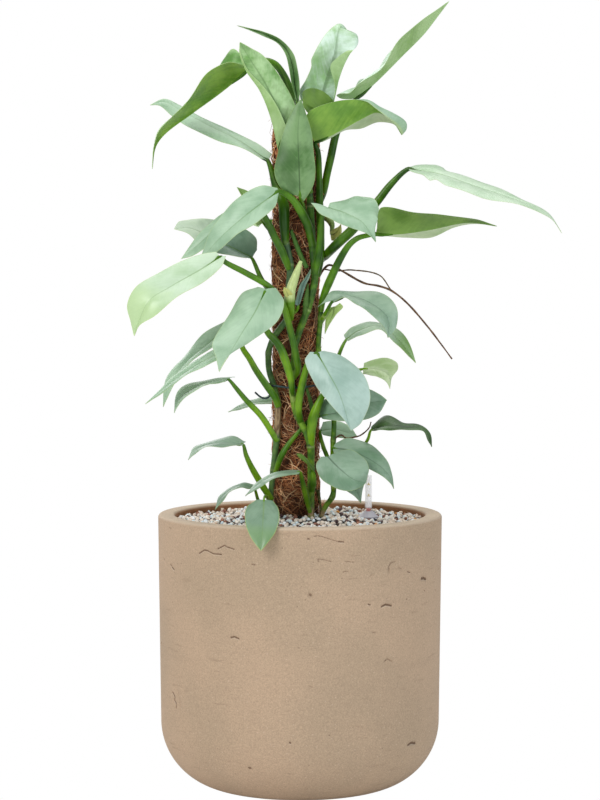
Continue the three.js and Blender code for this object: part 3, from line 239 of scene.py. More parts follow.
# Tears, pores and scuffs on the side that shows, as points in the front view, then width and depth in
# millimetres and how strong the painted shade in the hollow and the painted highlight on its lip are.
FRONT_MARKS = [
    ([(199, 553.5), (204, 550), (207, 550.7), (213, 553.9), (221, 554.6)], 1.1, 1.0, 0.75),
    ([(217.6, 548.9), (224.5, 545.4), (226.8, 547), (233.7, 549.3)], 1.1, 1.0, 0.7),
    ([(170, 564.5), (171.4, 567.5), (173.3, 569.5)], 1.0, 1.6, 1.0),
    ([(163.3, 558.8), (163.6, 559.6)], 1.2, 1.2, 0.9),
    ([(169, 527.6), (171, 528.4)], 0.9, 0.7, 0.5),
    ([(251.6, 564.3), (254.3, 565)], 1.0, 1.1, 0.6),
    ([(308, 539), (309, 539)], 1.3, 1.2, 0.7),
    ([(314, 536.3), (318, 535.8), (323.2, 537), (331.3, 539.7), (338.1, 541.5), (343.2, 542)], 0.8, 0.9, 0.6),
    ([(338.5, 541.6), (343.6, 542.1)], 1.2, 1.0, 0.7),
    ([(318.5, 562), (318, 559.2), (324.4, 559.9), (330.8, 561.5)], 0.8, 0.9, 0.55),
    ([(345.5, 561.5), (353.8, 562.2)], 0.7, 0.8, 0.6),
    ([(349.6, 555), (352, 555.8), (361, 556.2)], 0.7, 0.6, 0.4),
    ([(343.9, 572.3), (345.5, 571.5), (348.5, 571.8)], 0.9, 0.9, 0.55),
    ([(389.8, 571.8), (389.1, 567.3), (391.4, 563.1), (395.5, 561.7)], 1.3, 1.0, 0.5),
    ([(399, 567.3), (402, 569)], 0.8, 0.8, 0.5),
    ([(371, 576), (373.7, 574.6)], 0.9, 0.7, 0.4),
    ([(408.2, 571.8), (410.5, 572.5)], 0.9, 1.0, 0.7),
    ([(422.6, 578.7), (424.7, 578.2), (426.6, 579)], 1.9, 2.4, 1.0),
    ([(425.2, 590.2), (425.6, 590.8)], 1.0, 1.0, 0.6),
    ([(436.2, 589.6), (436.6, 590.4)], 1.0, 1.0, 0.6),
    ([(381.8, 585), (385.2, 584.8)], 0.7, 0.5, 0.3),
    ([(310, 595), (310.9, 595.6)], 2.3, 1.8, 0.6),
    ([(328.5, 593), (328.9, 593.2)], 0.9, 0.8, 0.5),
    ([(382.5, 606.8), (386.4, 604.7), (392.1, 605.8)], 1.4, 1.5, 0.85),
    ([(369.2, 604.5), (370.6, 605)], 1.1, 1.1, 0.75),
    ([(407.5, 599), (407.7, 599.6)], 0.8, 0.8, 0.7),
    ([(329.2, 610), (329.6, 610.4)], 0.8, 0.7, 0.4),
    ([(230.2, 637.8), (233.7, 637), (237.6, 638.9)], 1.3, 1.4, 0.8),
    ([(271.5, 634), (274, 630.8), (279, 630.2), (284, 635)], 0.9, 0.5, 0.22),
    ([(266, 641), (272, 639.5), (277, 641.2)], 0.8, 0.4, 0.2),
    ([(373.7, 632.7), (376.7, 632.5)], 1.0, 0.9, 0.5),
    ([(385.9, 661.4), (388.7, 659.1), (392.8, 661.4)], 1.2, 1.1, 0.5),
    ([(170.5, 692.4), (172.8, 697), (172.4, 700.4), (174, 703.9), (174, 708.5)], 1.2, 1.4, 0.85),
    ([(175.5, 690), (177.5, 699), (178.5, 707)], 3.6, 0.8, 0.3),
    ([(308.8, 685.5), (311, 687.2), (312.9, 687.8)], 0.9, 0.7, 0.35),
    ([(432, 708.2), (433.4, 709)], 2.6, 0.8, 0.3),
    ([(351.9, 728.4), (358.8, 726.8), (364.5, 728.4)], 1.2, 0.8, 0.35),
    ([(328, 723.6), (336, 723.2), (344, 723.8)], 0.7, 0.4, 0.22),
    ([(330, 736), (330.4, 736.4)], 1.0, 0.9, 0.7),
    ([(289.7, 743.2), (290.2, 743.6)], 1.3, 1.2, 0.9),
    ([(411.2, 745.4), (413.9, 743.4), (418, 743.6)], 1.6, 2.0, 1.0),
    ([(245.2, 769.2), (247.4, 769.6)], 1.1, 1.1, 0.75),
    ([(217, 785), (219.4, 785.8)], 1.0, 0.7, 0.35),
    ([(226, 749), (238, 748.4), (252, 749.6)], 0.7, 0.35, 0.18),
    ([(243, 708), (252, 707.4), (262, 708.6)], 0.7, 0.35, 0.18),
]

# The wall's back has marks too, at random: shares of a half turn, heights, and lengths in millimetres
# with their odds.
HIDDEN_MARKS = 46
HIDDEN_SEED = 7
HIDDEN_SPAN = (0.42, 1.58)
HIDDEN_HEIGHTS = (0.03, 0.325)
HIDDEN_LENGTHS = {1: 0.34, 3: 0.22, 6: 0.2, 12: 0.16, 16: 0.08}
MARK_REACH = 3.2
MARK_CUTS = 3

forward = (AIM - EYE).normalized()
upward = Vector((1, 0, 0)).cross(forward)


def sight_line(across, down):
    """The direction from the eye through a point of the front view."""
    slant = Vector(((across - FRAME_CENTRE[0]) / FOCAL_PIXELS, 0, 0))
    return forward + slant + upward * ((FRAME_CENTRE[1] - down) / FOCAL_PIXELS)


def on_wall(across, down):
    """Where a point of the front view meets the pot's wall, as (distance round the wall, height)."""
    ray = sight_line(across, down)
    a = ray.x ** 2 + ray.y ** 2
    b = 2 * (EYE.x * ray.x + EYE.y * ray.y)
    c = EYE.x ** 2 + EYE.y ** 2 - POT_RADIUS ** 2
    reach = (-b - math.sqrt(max(b * b - 4 * a * c, 0))) / (2 * a)
    hit = EYE + ray * reach
    return math.atan2(hit.x, -hit.y) * POT_RADIUS, hit.z


marks = [([on_wall(*point) for point in line], width * MM, depth * MM, dark)
         for line, width, depth, dark in FRONT_MARKS]
draw = np.random.default_rng(HIDDEN_SEED)
for _ in range(HIDDEN_MARKS):
    place = np.array([draw.uniform(*HIDDEN_SPAN) * math.pi * POT_RADIUS, draw.uniform(*HIDDEN_HEIGHTS)])
    length = draw.choice(list(HIDDEN_LENGTHS), p=list(HIDDEN_LENGTHS.values())) * MM
    steps = np.cumsum([[0, 0]] + [[length / 3, draw.normal(0, 0.16) * length] for _ in range(3)], axis=0)
    marks.append(([tuple(place + step) for step in steps],
                  draw.uniform(0.8, 1.5) * MM, draw.uniform(0.5, 1.6) * MM, draw.uniform(0.3, 0.95)))

pot_points, pot_faces = lathe(pot_profile, POT_SEGMENTS)


def wall_place(points):
    """Distance round the wall from the front, and height, of points near the wall."""
    around = np.arctan2(points[:, 0], -points[:, 1]) % (2 * math.pi)
    return around * POT_RADIUS, points[:, 2]


def gap_to_line(around, height, line):
    """Distance from each point to a line on the wall. The way round closes behind the pot."""
    turn = 2 * math.pi * POT_RADIUS
    nearest = np.full(len(around), 1.0)
    for (u0, v0), (u1, v1) in zip(line, line[1:]):
        du = (around - u0 + turn / 2) % turn - turn / 2
        dv = height - v0
        span = (u1 - u0) ** 2 + (v1 - v0) ** 2 + 1e-12
        share = np.clip((du * (u1 - u0) + dv * (v1 - v0)) / span, 0, 1)
        nearest = np.minimum(nearest, np.hypot(du - share * (u1 - u0), dv - share * (v1 - v0)))
    return nearest


shell = bmesh.new()
for point in pot_points:
    shell.verts.new(point)
shell.verts.ensure_lookup_table()
for face in pot_faces:
    shell.faces.new([shell.verts[i] for i in face])
centres = np.array([face.calc_center_median() for face in shell.faces])
outside = np.hypot(centres[:, 0], centres[:, 1]) > POT_RADIUS - POT_WALL / 2
around, height = wall_place(centres)
near = np.zeros(len(centres), bool)
for line, width, _, _ in marks:
    near |= outside & (gap_to_line(around, height, line) < MARK_REACH * width + POT_STEP / 2)
shell.faces.ensure_lookup_table()
fine_edges = {edge for i in np.flatnonzero(near) for edge in shell.faces[i].edges}
bmesh.ops.subdivide_edges(shell, edges=list(fine_edges), cuts=MARK_CUTS, use_grid_fill=True)
bmesh.ops.recalc_face_normals(shell, faces=shell.faces)
pot_mesh = bpy.data.meshes.new("pot_shell")
shell.to_mesh(pot_mesh)
shell.free()

places = np.zeros(len(pot_mesh.vertices) * 3)
pot_mesh.vertices.foreach_get("co", places)
places = places.reshape(-1, 3)
radii = np.hypot(places[:, 0], places[:, 1])
on_outside = radii > POT_RADIUS - POT_WALL / 2
around, height = wall_place(places)
hollow_shade = np.zeros(len(places))
lit_lips = np.zeros(len(places))
sunk = np.zeros(len(places))
ragged = 0.22 * np.sin(around * 3100 + 2 * np.sin(height * 2300)) + 0.18 * np.sin(height * 4700)
# Each mark gets painted shade in its hollow and a painted highlight on the lip just below it.
for line, width, depth, dark in marks:
    gap = gap_to_line(around, height, line) / width * (1 + ragged)
    shape = np.exp(-gap ** 2) * on_outside
    hollow_shade = np.maximum(hollow_shade, shape * dark)
    sunk = np.maximum(sunk, shape * depth)
    # The lip just below each mark gets a painted highlight.
    gap_below = gap_to_line(around, height + 1.3 * MM, line) / width * (1 + ragged)
    lit_lips = np.maximum(lit_lips, np.exp(-(gap_below / 1.1) ** 2) * on_outside * dark)
inward = places * [1, 1, 0] / np.maximum(radii, 1e-6)[:, None]
places -= inward * sunk[:, None]
pot_mesh.vertices.foreach_set("co", places.ravel())
for mark_name, numbers in (("pit_shade", hollow_shade), ("lit_lip", lit_lips)):
    pot_mesh.attributes.new(mark_name, "FLOAT", "POINT").data.foreach_set("value", numbers.astype(np.float32))
pot_mesh.shade_smooth()
pot = bpy.data.objects.new("pot_shell", pot_mesh)
scene.collection.objects.link(pot)


def new_group(name, inputs, outputs):
    """An empty shader group with named sockets, given as name and kind, and inputs with a first value."""
    tree = bpy.data.node_groups.new(name, "ShaderNodeTree")
    for label, (kind, value) in inputs.items():
        socket = tree.interface.new_socket(name=label, in_out="INPUT", socket_type=kind)
        socket.default_value = value
    for label, kind in outputs.items():
        tree.interface.new_socket(name=label, in_out="OUTPUT", socket_type=kind)
    return tree, add(tree, "NodeGroupInput").outputs, add(tree, "NodeGroupOutput")


def tree_of(*values):
    """The node tree that the sockets among some values belong to."""
    return next(value.id_data for value in values if isinstance(value, bpy.types.NodeSocket))


def maths(operation, *values):
    """One step of arithmetic on numbers or sockets."""
    return add(tree_of(*values), "ShaderNodeMath", dict(enumerate(values)), operation=operation).outputs[0]


def times(first, second):
    """A product."""
    return maths("MULTIPLY", first, second)


def plus(first, second):
    """A sum."""
    return maths("ADD", first, second)


def minus(first, second):
    """A difference."""
    return maths("SUBTRACT", first, second)


def divided(first, second):
    """A quotient."""
    return maths("DIVIDE", first, second)


def object_place(tree):
    """The place on the object, in metres."""
    return add(tree, "ShaderNodeTexCoord").outputs["Object"]


def height_of(place):
    """The height of a place."""
    return add(tree_of(place), "ShaderNodeSeparateXYZ", {0: place}).outputs[2]


def drawn_out(place, scale):
    """A place scaled on each axis, which draws a pattern out on the axes with small numbers."""
    return add(tree_of(place), "ShaderNodeMapping", {"Vector": place, "Scale": scale}).outputs[0]


def channel(colour, number):
    """One channel of a colour, as a random number of a cell."""
    return add(tree_of(colour), "ShaderNodeSeparateColor", {0: colour}).outputs[number]


def blend(share, first, second):
    """A mix of two colours."""
    inputs = {0: share, 6: first, 7: second}
    return add(tree_of(share, first, second), "ShaderNodeMix", inputs, data_type="RGBA").outputs[2]


def spread(value, low, high, new_low=0.0, new_high=1.0):
    """Stretches a part of a value's range over a new range, with soft ends."""
    inputs = dict(enumerate((value, low, high, new_low, new_high)))
    return add(tree_of(value), "ShaderNodeMapRange", inputs, interpolation_type="SMOOTHSTEP").outputs[0]


def noise(place, scale, detail=2.0, roughness=0.5):
    """A cloud of values between 0 and 1."""
    inputs = {"Vector": place, "Scale": scale, "Detail": detail, "Roughness": roughness}
    return add(tree_of(place), "ShaderNodeTexNoise", inputs).outputs[0]


def kept(tree, name):
    """A number kept at the mesh's points."""
    return add(tree, "ShaderNodeAttribute", attribute_name=name).outputs["Fac"]


# Fine grain, used on cast stone, granules, plastic, wood and leaves. It puts out a speckle of light and
# dark, and the relief that goes with it.
grain_tree, grain_in, grain_out = new_group(
    "fine_grain",
    {"Place": ("NodeSocketVector", (0, 0, 0)), "Scale": ("NodeSocketFloat", 600.0),
     "Contrast": ("NodeSocketFloat", 0.1)},
    {"Shade": "NodeSocketFloat", "Relief": "NodeSocketFloat"})
coarse = noise(grain_in["Place"], grain_in["Scale"], 3.0, 0.7)
shade = maths("MULTIPLY_ADD", minus(coarse, 0.5), grain_in["Contrast"], 1.0)
grain_tree.links.new(shade, grain_out.inputs["Shade"])
grain_tree.links.new(coarse, grain_out.inputs["Relief"])


def grain(place, scale, contrast):
    """The fine grain group, placed in a material."""
    made = add(tree_of(place), "ShaderNodeGroup", node_tree=grain_tree)
    made.id_data.links.new(place, made.inputs["Place"])
    made.inputs["Scale"].default_value = scale
    made.inputs["Contrast"].default_value = contrast
    return made.outputs["Shade"], made.outputs["Relief"]


def shaded(colour, shade):
    """A colour made lighter or darker by a number."""
    inputs = {0: colour, "Scale": shade}
    return add(tree_of(colour, shade), "ShaderNodeVectorMath", inputs, operation="SCALE").outputs[0]


def finish_surface(shader, colour, height, distance, strength=1.0):
    """Joins a colour and a relief to a shader."""
    tree = shader.id_data
    tree.links.new(colour, shader.inputs["Base Color"])
    bump = add(tree, "ShaderNodeBump", {"Height": height, "Distance": distance, "Strength": strength})
    tree.links.new(bump.outputs[0], shader.inputs["Normal"])


stone_material, stone, stone_shader = new_material("cast_sandstone", Roughness=0.88)
here = object_place(stone)
clouds = spread(noise(here, 7.0, 4.0), 0.38, 0.66)
tone = blend(clouds, plain(190, 163, 136), plain(180, 156, 130))
stretched = drawn_out(here, (5, 5, 34))
bands = spread(noise(stretched, 1.0, 4.0, 0.65), 0.56, 0.74)
tone = blend(times(bands, 0.2), tone, plain(168, 145, 121))
wrinkled = drawn_out(here, (24, 24, 190))
wrinkles = spread(noise(wrinkled, 1.0, 3.0, 0.6), 0.6, 0.74)
tone = blend(times(wrinkles, 0.35), tone, plain(150, 126, 103))
speckle, relief = grain(here, 560.0, 0.85)
tone = shaded(tone, speckle)
fine_speckle, _ = grain(here, 1500.0, 0.7)
tone = shaded(tone, fine_speckle)
grains = add(stone, "ShaderNodeTexVoronoi", {"Vector": here, "Scale": 260.0})
light_grain = spread(grains.outputs["Distance"], 0.22, 0.08)
chosen = spread(channel(grains.outputs["Color"], 0), 0.72, 0.8)
tone = blend(times(times(light_grain, chosen), 0.5), tone, plain(226, 205, 182))
pores = add(stone, "ShaderNodeTexVoronoi", {"Vector": here, "Scale": 150.0})
pore = spread(pores.outputs["Distance"], 0.16, 0.06)
rare = spread(channel(pores.outputs["Color"], 1), 0.88, 0.92)
pore = times(pore, rare)
tone = blend(times(pore, 0.55), tone, plain(112, 88, 68))
ragged_edge = times(minus(noise(here, 760.0, 3.0, 0.6), 0.5), 0.9)
# Painted shade darkens the hollows of the marks.
painted_pit_shade = spread(plus(kept(stone, "pit_shade"), ragged_edge), 0.22, 0.66)
# The lip below each mark is lighter, a painted highlight where light from above catches it.
lit_lip = spread(plus(kept(stone, "lit_lip"), ragged_edge), 0.4, 0.8)
tone = blend(times(lit_lip, 0.5), tone, plain(222, 202, 178))
tone = blend(times(painted_pit_shade, 0.8), tone, plain(98, 70, 48))
# The inner wall near the top is darker and warmer, partly a stain and partly painted shade inside the pot.
flat_place = add(stone, "ShaderNodeVectorMath", {0: here, 1: (1, 1, 0)}, operation="MULTIPLY").outputs[0]
from_axis = add(stone, "ShaderNodeVectorMath", {0: flat_place}, operation="LENGTH").outputs["Value"]
stain_and_shade = spread(from_axis, pot_inner + 2.2 * MM, pot_inner + 0.4 * MM)
stone_height = height_of(here)
stain_and_shade = times(stain_and_shade, maths("GREATER_THAN", stone_height, POT_HEIGHT / 2))
tone = blend(times(stain_and_shade, 0.9), tone, plain(154, 100, 58))
# The top of the rim is lighter, a painted highlight where the light from above falls on it.
lighter_share = times(spread(stone_height, POT_HEIGHT - 4 * MM, POT_HEIGHT - 0.5 * MM), 0.6)
tone = blend(lighter_share, tone, plain(212, 194, 172))
heights = minus(relief, times(pore, 1.2))
finish_surface(stone_shader, tone, heights, 0.35 * MM, 0.7)
pot_mesh.materials.append(stone_material)
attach(pot, "root")
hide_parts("pot")


# Substrate. The planter is filled with crushed mineral granules of 5 to 7 mm: cream pumice, bluish
# white zeolite, dark and reddish lava, and a few orange beads of plant food.
GRANULE_SIZE = 2.75 * MM
GRANULE_SPACING = 4.05 * MM
GRANULE_SINK = 1.2 * MM
GRANULE_SHAPES = 6
GRANULE_KINDS = {
    "pumice_cream": dict(up_to=0.58, dark=(238, 216, 196), light=(255, 248, 238)),
    "zeolite_bluish": dict(up_to=0.82, dark=(228, 244, 250), light=(255, 255, 255)),
    "lava_dark": dict(up_to=0.92, dark=(66, 46, 50), light=(128, 100, 98)),
    "lava_reddish": dict(up_to=0.985, dark=(128, 78, 62), light=(176, 124, 100)),
    "food_orange": dict(up_to=1.0, dark=(206, 132, 52), light=(226, 160, 84)),
}
SUBSTRATE_FLAT = 0.6
COLLAR_CLEARANCE = 12.2 * MM
TOP_LAYER = 20 * MM
MOST_GRANULES = 90000.0
GAUGE_X = 84.5 * MM


def granule_material(name, dark, light):
    """Crushed mineral. Each granule has its own shade, and pores all over."""
    made, tree, shader = new_material(name, Roughness=0.82)
    place = object_place(tree)
    colour = blend(kept(tree, "shade"), plain(*dark), plain(*light))
    speck, rough = grain(place, 900.0, 0.55)
    finish_surface(shader, shaded(colour, speck), rough, 0.5 * MM)
    return made


def new_tree(name, inputs):
    """An empty geometry tree that takes a mesh and named sizes."""
    tree = bpy.data.node_groups.new(name, "GeometryNodeTree")
    tree.interface.new_socket(name="Geometry", in_out="INPUT", socket_type="NodeSocketGeometry")
    for label, kind in inputs.items():
        tree.interface.new_socket(name=label, in_out="INPUT", socket_type=kind)
    tree.interface.new_socket(name="Geometry", in_out="OUTPUT", socket_type="NodeSocketGeometry")
    return tree, add(tree, "NodeGroupInput").outputs, add(tree, "NodeGroupOutput")


def chance(tree, low, high, seed, kind="FLOAT"):
    """A random number or vector between two values, with a fixed seed."""
    sockets = {"FLOAT_VECTOR": (0, 1, 0), "FLOAT": (2, 3, 1), "INT": (4, 5, 2)}[kind]
    inputs = {sockets[0]: low, sockets[1]: high, "Seed": seed}
    made = add(tree, "FunctionNodeRandomValue", inputs, data_type=kind)
    return made.outputs[sockets[2]]


def keep_number(tree, geometry, name, value, domain="POINT", kind="FLOAT"):
    """Keeps a number on the geometry under a name."""
    return add(tree, "GeometryNodeStoreNamedAttribute", {"Geometry": geometry, "Name": name, "Value": value},
               data_type=kind, domain=domain).outputs[0]


def grow(name, base, tree, sizes):
    """Runs a geometry tree on a base object, which is used up, and keeps the result as a plain mesh."""
    modifier = base.modifiers.new(name, "NODES")
    modifier.node_group = tree
    for item in tree.interface.items_tree:
        if item.item_type == "SOCKET" and item.in_out == "INPUT" and item.name in sizes:
            modifier[item.identifier] = sizes[item.name]
    view = bpy.context.evaluated_depsgraph_get()
    mesh = bpy.data.meshes.new_from_object(base.evaluated_get(view))
    bpy.data.objects.remove(base)
    mesh.name = name
    made = bpy.data.objects.new(name, mesh)
    scene.collection.objects.link(made)
    return made


bed_tree, bed_in, bed_out = new_tree("granule_bed", {
    "Size": "NodeSocketFloat", "Spacing": "NodeSocketFloat", "Sink": "NodeSocketFloat",
    "Seed": "NodeSocketInt"})
stones = add(bed_tree, "GeometryNodeJoinGeometry")
for shape in range(GRANULE_SHAPES):
    cube = add(bed_tree, "GeometryNodeMeshCube",
               {"Size": (1, 1, 1), "Vertices X": 3, "Vertices Y": 3, "Vertices Z": 3})
    spot = add(bed_tree, "GeometryNodeInputPosition").outputs[0]
    ball = add(bed_tree, "ShaderNodeVectorMath", {0: spot}, operation="NORMALIZE").outputs[0]
    jitter = chance(bed_tree, (-0.2, -0.2, -0.2), (0.2, 0.2, 0.2), 20 + shape, "FLOAT_VECTOR")
    lump = add(bed_tree, "GeometryNodeSetPosition", {"Geometry": cube.outputs[0], "Position": ball,
                                                     "Offset": jitter})
    hull = add(bed_tree, "GeometryNodeConvexHull", {0: lump.outputs[0]})
    single = add(bed_tree, "GeometryNodeGeometryToInstance", {0: hull.outputs[0]})
    bed_tree.links.new(single.outputs[0], stones.inputs[0])
spots = add(bed_tree, "GeometryNodeDistributePointsOnFaces",
            {"Mesh": bed_in["Geometry"], "Distance Min": bed_in["Spacing"], "Density Max": MOST_GRANULES,
             "Seed": bed_in["Seed"]}, distribute_method="POISSON")
drop = times(bed_in["Sink"], chance(bed_tree, -2.6, 1.4, 3))
lowered = add(bed_tree, "GeometryNodeSetPosition", {
    "Geometry": spots.outputs["Points"],
    "Offset": add(bed_tree, "ShaderNodeCombineXYZ", {2: drop}).outputs[0]})
sizes = add(bed_tree, "ShaderNodeVectorMath", {
    0: chance(bed_tree, (0.78, 0.78, 0.74), (1.15, 1.15, 1.1), 4, "FLOAT_VECTOR"), "Scale": bed_in["Size"]},
    operation="SCALE").outputs[0]
placed = add(bed_tree, "GeometryNodeInstanceOnPoints", {
    "Points": lowered.outputs[0], "Instance": stones.outputs[0], "Pick Instance": True,
    "Instance Index": chance(bed_tree, 0, GRANULE_SHAPES - 1, 5, "INT"),
    "Rotation": chance(bed_tree, (0, 0, 0), (6.28, 6.28, 6.28), 6, "FLOAT_VECTOR"), "Scale": sizes})
sorted_out = keep_number(bed_tree, placed.outputs[0], "shade", chance(bed_tree, 0.0, 1.0, 8), "INSTANCE")
sorted_out = keep_number(bed_tree, sorted_out, "sort", chance(bed_tree, 0.0, 1.0, 9), "INSTANCE")
loose = add(bed_tree, "GeometryNodeRealizeInstances", {0: sorted_out}).outputs[0]
loose = add(bed_tree, "GeometryNodeSetShadeSmooth", {"Geometry": loose, "Shade Smooth": True}).outputs[0]
sort = add(bed_tree, "GeometryNodeInputNamedAttribute", {"Name": "sort"}, data_type="FLOAT").outputs[0]
from_share = -0.1
for kind_name, kind in GRANULE_KINDS.items():
    above = maths("GREATER_THAN", sort, from_share)
    within = times(above, maths("LESS_THAN", sort, kind["up_to"] + 1e-6))
    loose = add(bed_tree, "GeometryNodeSetMaterial", {
        "Geometry": loose, "Selection": within,
        "Material": granule_material(kind_name, kind["dark"], kind["light"])}).outputs[0]
    from_share = kind["up_to"]
bed_tree.links.new(loose, bed_out.inputs[0])


def top_faces(source):
    """The faces of a CAD node that look up at its top, as a new merged object with room for the collar."""
    copy = bmesh.new()
    copy.from_mesh(source.data)
    bmesh.ops.remove_doubles(copy, verts=copy.verts, dist=1e-6)
    copy.normal_update()
    top = max(vert.co.z for vert in copy.verts)
    high_edges = [edge for edge in copy.edges if edge.verts[0].co.z > top - TOP_LAYER]
    bmesh.ops.subdivide_edges(copy, edges=high_edges, cuts=6, use_grid_fill=True)
    unwanted = []
    for face in copy.faces:
        middle = face.calc_center_median()
        at_collar = math.hypot(middle.x - GAUGE_X, middle.y) < COLLAR_CLEARANCE
        if face.normal.z < SUBSTRATE_FLAT or middle.z < top - TOP_LAYER or at_collar:
            unwanted.append(face)
    bmesh.ops.delete(copy, geom=unwanted, context="FACES")
    mesh = bpy.data.meshes.new("substrate_top")
    copy.to_mesh(mesh)
    copy.free()
    made = bpy.data.objects.new("substrate_top", mesh)
    scene.collection.objects.link(made)
    return made


granules = grow("granules", top_faces(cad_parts["substrate"]), bed_tree,
                {"Size": GRANULE_SIZE, "Spacing": GRANULE_SPACING, "Sink": GRANULE_SINK, "Seed": 5})
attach(granules, "root")

# The fill under the granules shows only in the gaps between them and is painted dark for their shade, with
# more painted shade in the crevices at its cells' edges.
fill_material, fill, fill_shader = new_material("granule_fill", Roughness=0.9)
here = object_place(fill)
cells = add(fill, "ShaderNodeTexVoronoi", {"Vector": here, "Scale": 170.0})
pick = channel(cells.outputs["Color"], 0)
tone = blend(spread(pick, 0.3, 0.7), plain(52, 38, 36), plain(120, 100, 88))
crevice = spread(cells.outputs["Distance"], 0.55, 0.25)
finish_surface(fill_shader, shaded(tone, crevice), crevice, 2 * MM)
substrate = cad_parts["substrate"]


def dress(node, material):
    """Gives a CAD node its finish."""
    node.data.materials.clear()
    node.data.materials.append(material)


dress(substrate, fill_material)


# Coir pole. Coconut husk fibre is matted and bound round a wooden stake into a soft brown sleeve, with
# loose fibres standing off it. The foot is damp, dark and a little green.
POLE_X = -5 * MM
POLE_RADIUS = 27 * MM
POLE_TOP = 822 * MM
FIBRE_START = 322 * MM
DRY_ABOVE = 366 * MM
DAMP_BELOW = 332 * MM
CORE_RADIUS = 14 * MM
FIBRE_RADIUS = 0.42 * MM

fibre_tree, fibre_in, fibre_out = new_tree("matted_fibre", {
    "Density": "NodeSocketFloat", "Shortest": "NodeSocketFloat", "Longest": "NodeSocketFloat",
    "Thickness": "NodeSocketFloat", "Depth": "NodeSocketFloat", "Lift": "NodeSocketFloat",
    "Wander": "NodeSocketFloat", "Seed": "NodeSocketInt", "Material": "NodeSocketMaterial"})
thread = add(fibre_tree, "GeometryNodeCurvePrimitiveLine", {"Start": (-0.5, 0, 0), "End": (0.5, 0, 0)})
thread = add(fibre_tree, "GeometryNodeResampleCurve", {"Curve": thread.outputs[0], "Count": 8})
spots = add(fibre_tree, "GeometryNodeDistributePointsOnFaces", {
    "Mesh": fibre_in["Geometry"], "Density": fibre_in["Density"], "Seed": fibre_in["Seed"]})
lean = chance(fibre_tree, -1.45, 1.45, 2)
threads = add(fibre_tree, "GeometryNodeInstanceOnPoints", {
    "Points": spots.outputs["Points"], "Instance": thread.outputs[0],
    "Rotation": add(fibre_tree, "ShaderNodeCombineXYZ", {2: lean}).outputs[0]})
range_of_lengths = minus(fibre_in["Longest"], fibre_in["Shortest"])
extra_length = times(chance(fibre_tree, 0.0, 1.0, 3), range_of_lengths)
length = plus(fibre_in["Shortest"], extra_length)
fibre_tree.links.new(length, threads.inputs["Scale"])
numbered = keep_number(fibre_tree, threads.outputs[0], "shade", chance(fibre_tree, 0.0, 1.0, 11), "INSTANCE")
numbered = keep_number(fibre_tree, numbered, "layer", chance(fibre_tree, 0.0, 1.0, 12), "INSTANCE")
lines = add(fibre_tree, "GeometryNodeRealizeInstances", {0: numbered}).outputs[0]
flat_place = add(fibre_tree, "GeometryNodeInputPosition").outputs[0]
layer = add(fibre_tree, "GeometryNodeInputNamedAttribute", {"Name": "layer"}, data_type="FLOAT").outputs[0]
shift = add(fibre_tree, "ShaderNodeCombineXYZ", {2: times(layer, 3.0)}).outputs[0]
field_place = add(fibre_tree, "ShaderNodeVectorMath", {0: flat_place, 1: shift}, operation="ADD").outputs[0]
sway = add(fibre_tree, "ShaderNodeTexNoise", {"Vector": field_place, "Scale": 55.0, "Detail": 1.0})
sway = sway.outputs["Color"]
sway = add(fibre_tree, "ShaderNodeVectorMath", {0: sway, 1: (0.5, 0.5, 0.5)}, operation="SUBTRACT").outputs[0]
sway = add(fibre_tree, "ShaderNodeVectorMath", {0: sway, "Scale": fibre_in["Wander"]}, operation="SCALE")
sway = sway.outputs[0]
flat_place = add(fibre_tree, "ShaderNodeVectorMath", {0: flat_place, 1: sway}, operation="ADD").outputs[0]
flat = add(fibre_tree, "ShaderNodeSeparateXYZ", {0: flat_place}).outputs
share = add(fibre_tree, "GeometryNodeSplineParameter").outputs["Factor"]
arch = times(times(share, minus(1.0, share)), 4.0)
lift = times(maths("POWER", share, 2.0), fibre_in["Lift"])
lift = times(lift, plus(0.25, layer))
bowed = plus(0.35, times(arch, 0.65))
proud = times(times(layer, bowed), fibre_in["Depth"])
proud = plus(proud, lift)
half_height = (POLE_TOP - FIBRE_START) / 2
past_top = maths("MAXIMUM", minus(flat[1], half_height), 0.0)
on_side = maths("LESS_THAN", past_top, 1e-5)
side_proud = times(proud, on_side)
top_proud = minus(proud, side_proud)
radius = minus(plus(POLE_RADIUS + 0.2 * MM, side_proud), past_top)
angle = divided(flat[0], POLE_RADIUS)
rise = plus(maths("MINIMUM", flat[1], half_height), top_proud)
rolled = add(fibre_tree, "ShaderNodeCombineXYZ", {
    0: plus(times(radius, maths("COSINE", angle)), POLE_X),
    1: times(radius, maths("SINE", angle)),
    2: plus(rise, FIBRE_START + half_height)}).outputs[0]
lines = add(fibre_tree, "GeometryNodeSetPosition", {"Geometry": lines, "Position": rolled}).outputs[0]
full_middle = times(maths("POWER", arch, 0.4), 0.7)
thin_end = times(fibre_in["Thickness"], plus(0.3, full_middle))
lines = add(fibre_tree, "GeometryNodeSetCurveRadius", {"Curve": lines, "Radius": thin_end}).outputs[0]
profile = add(fibre_tree, "GeometryNodeCurvePrimitiveCircle", {"Resolution": 3, "Radius": 1.0}).outputs[0]
radius_field = add(fibre_tree, "GeometryNodeInputRadius").outputs[0]
body = add(fibre_tree, "GeometryNodeCurveToMesh", {
    "Curve": lines, "Profile Curve": profile, "Fill Caps": True, "Scale": radius_field})
coat = add(fibre_tree, "GeometryNodeSetMaterial", {
    "Geometry": body.outputs[0], "Material": fibre_in["Material"]})
fibre_tree.links.new(coat.outputs[0], fibre_out.inputs[0])

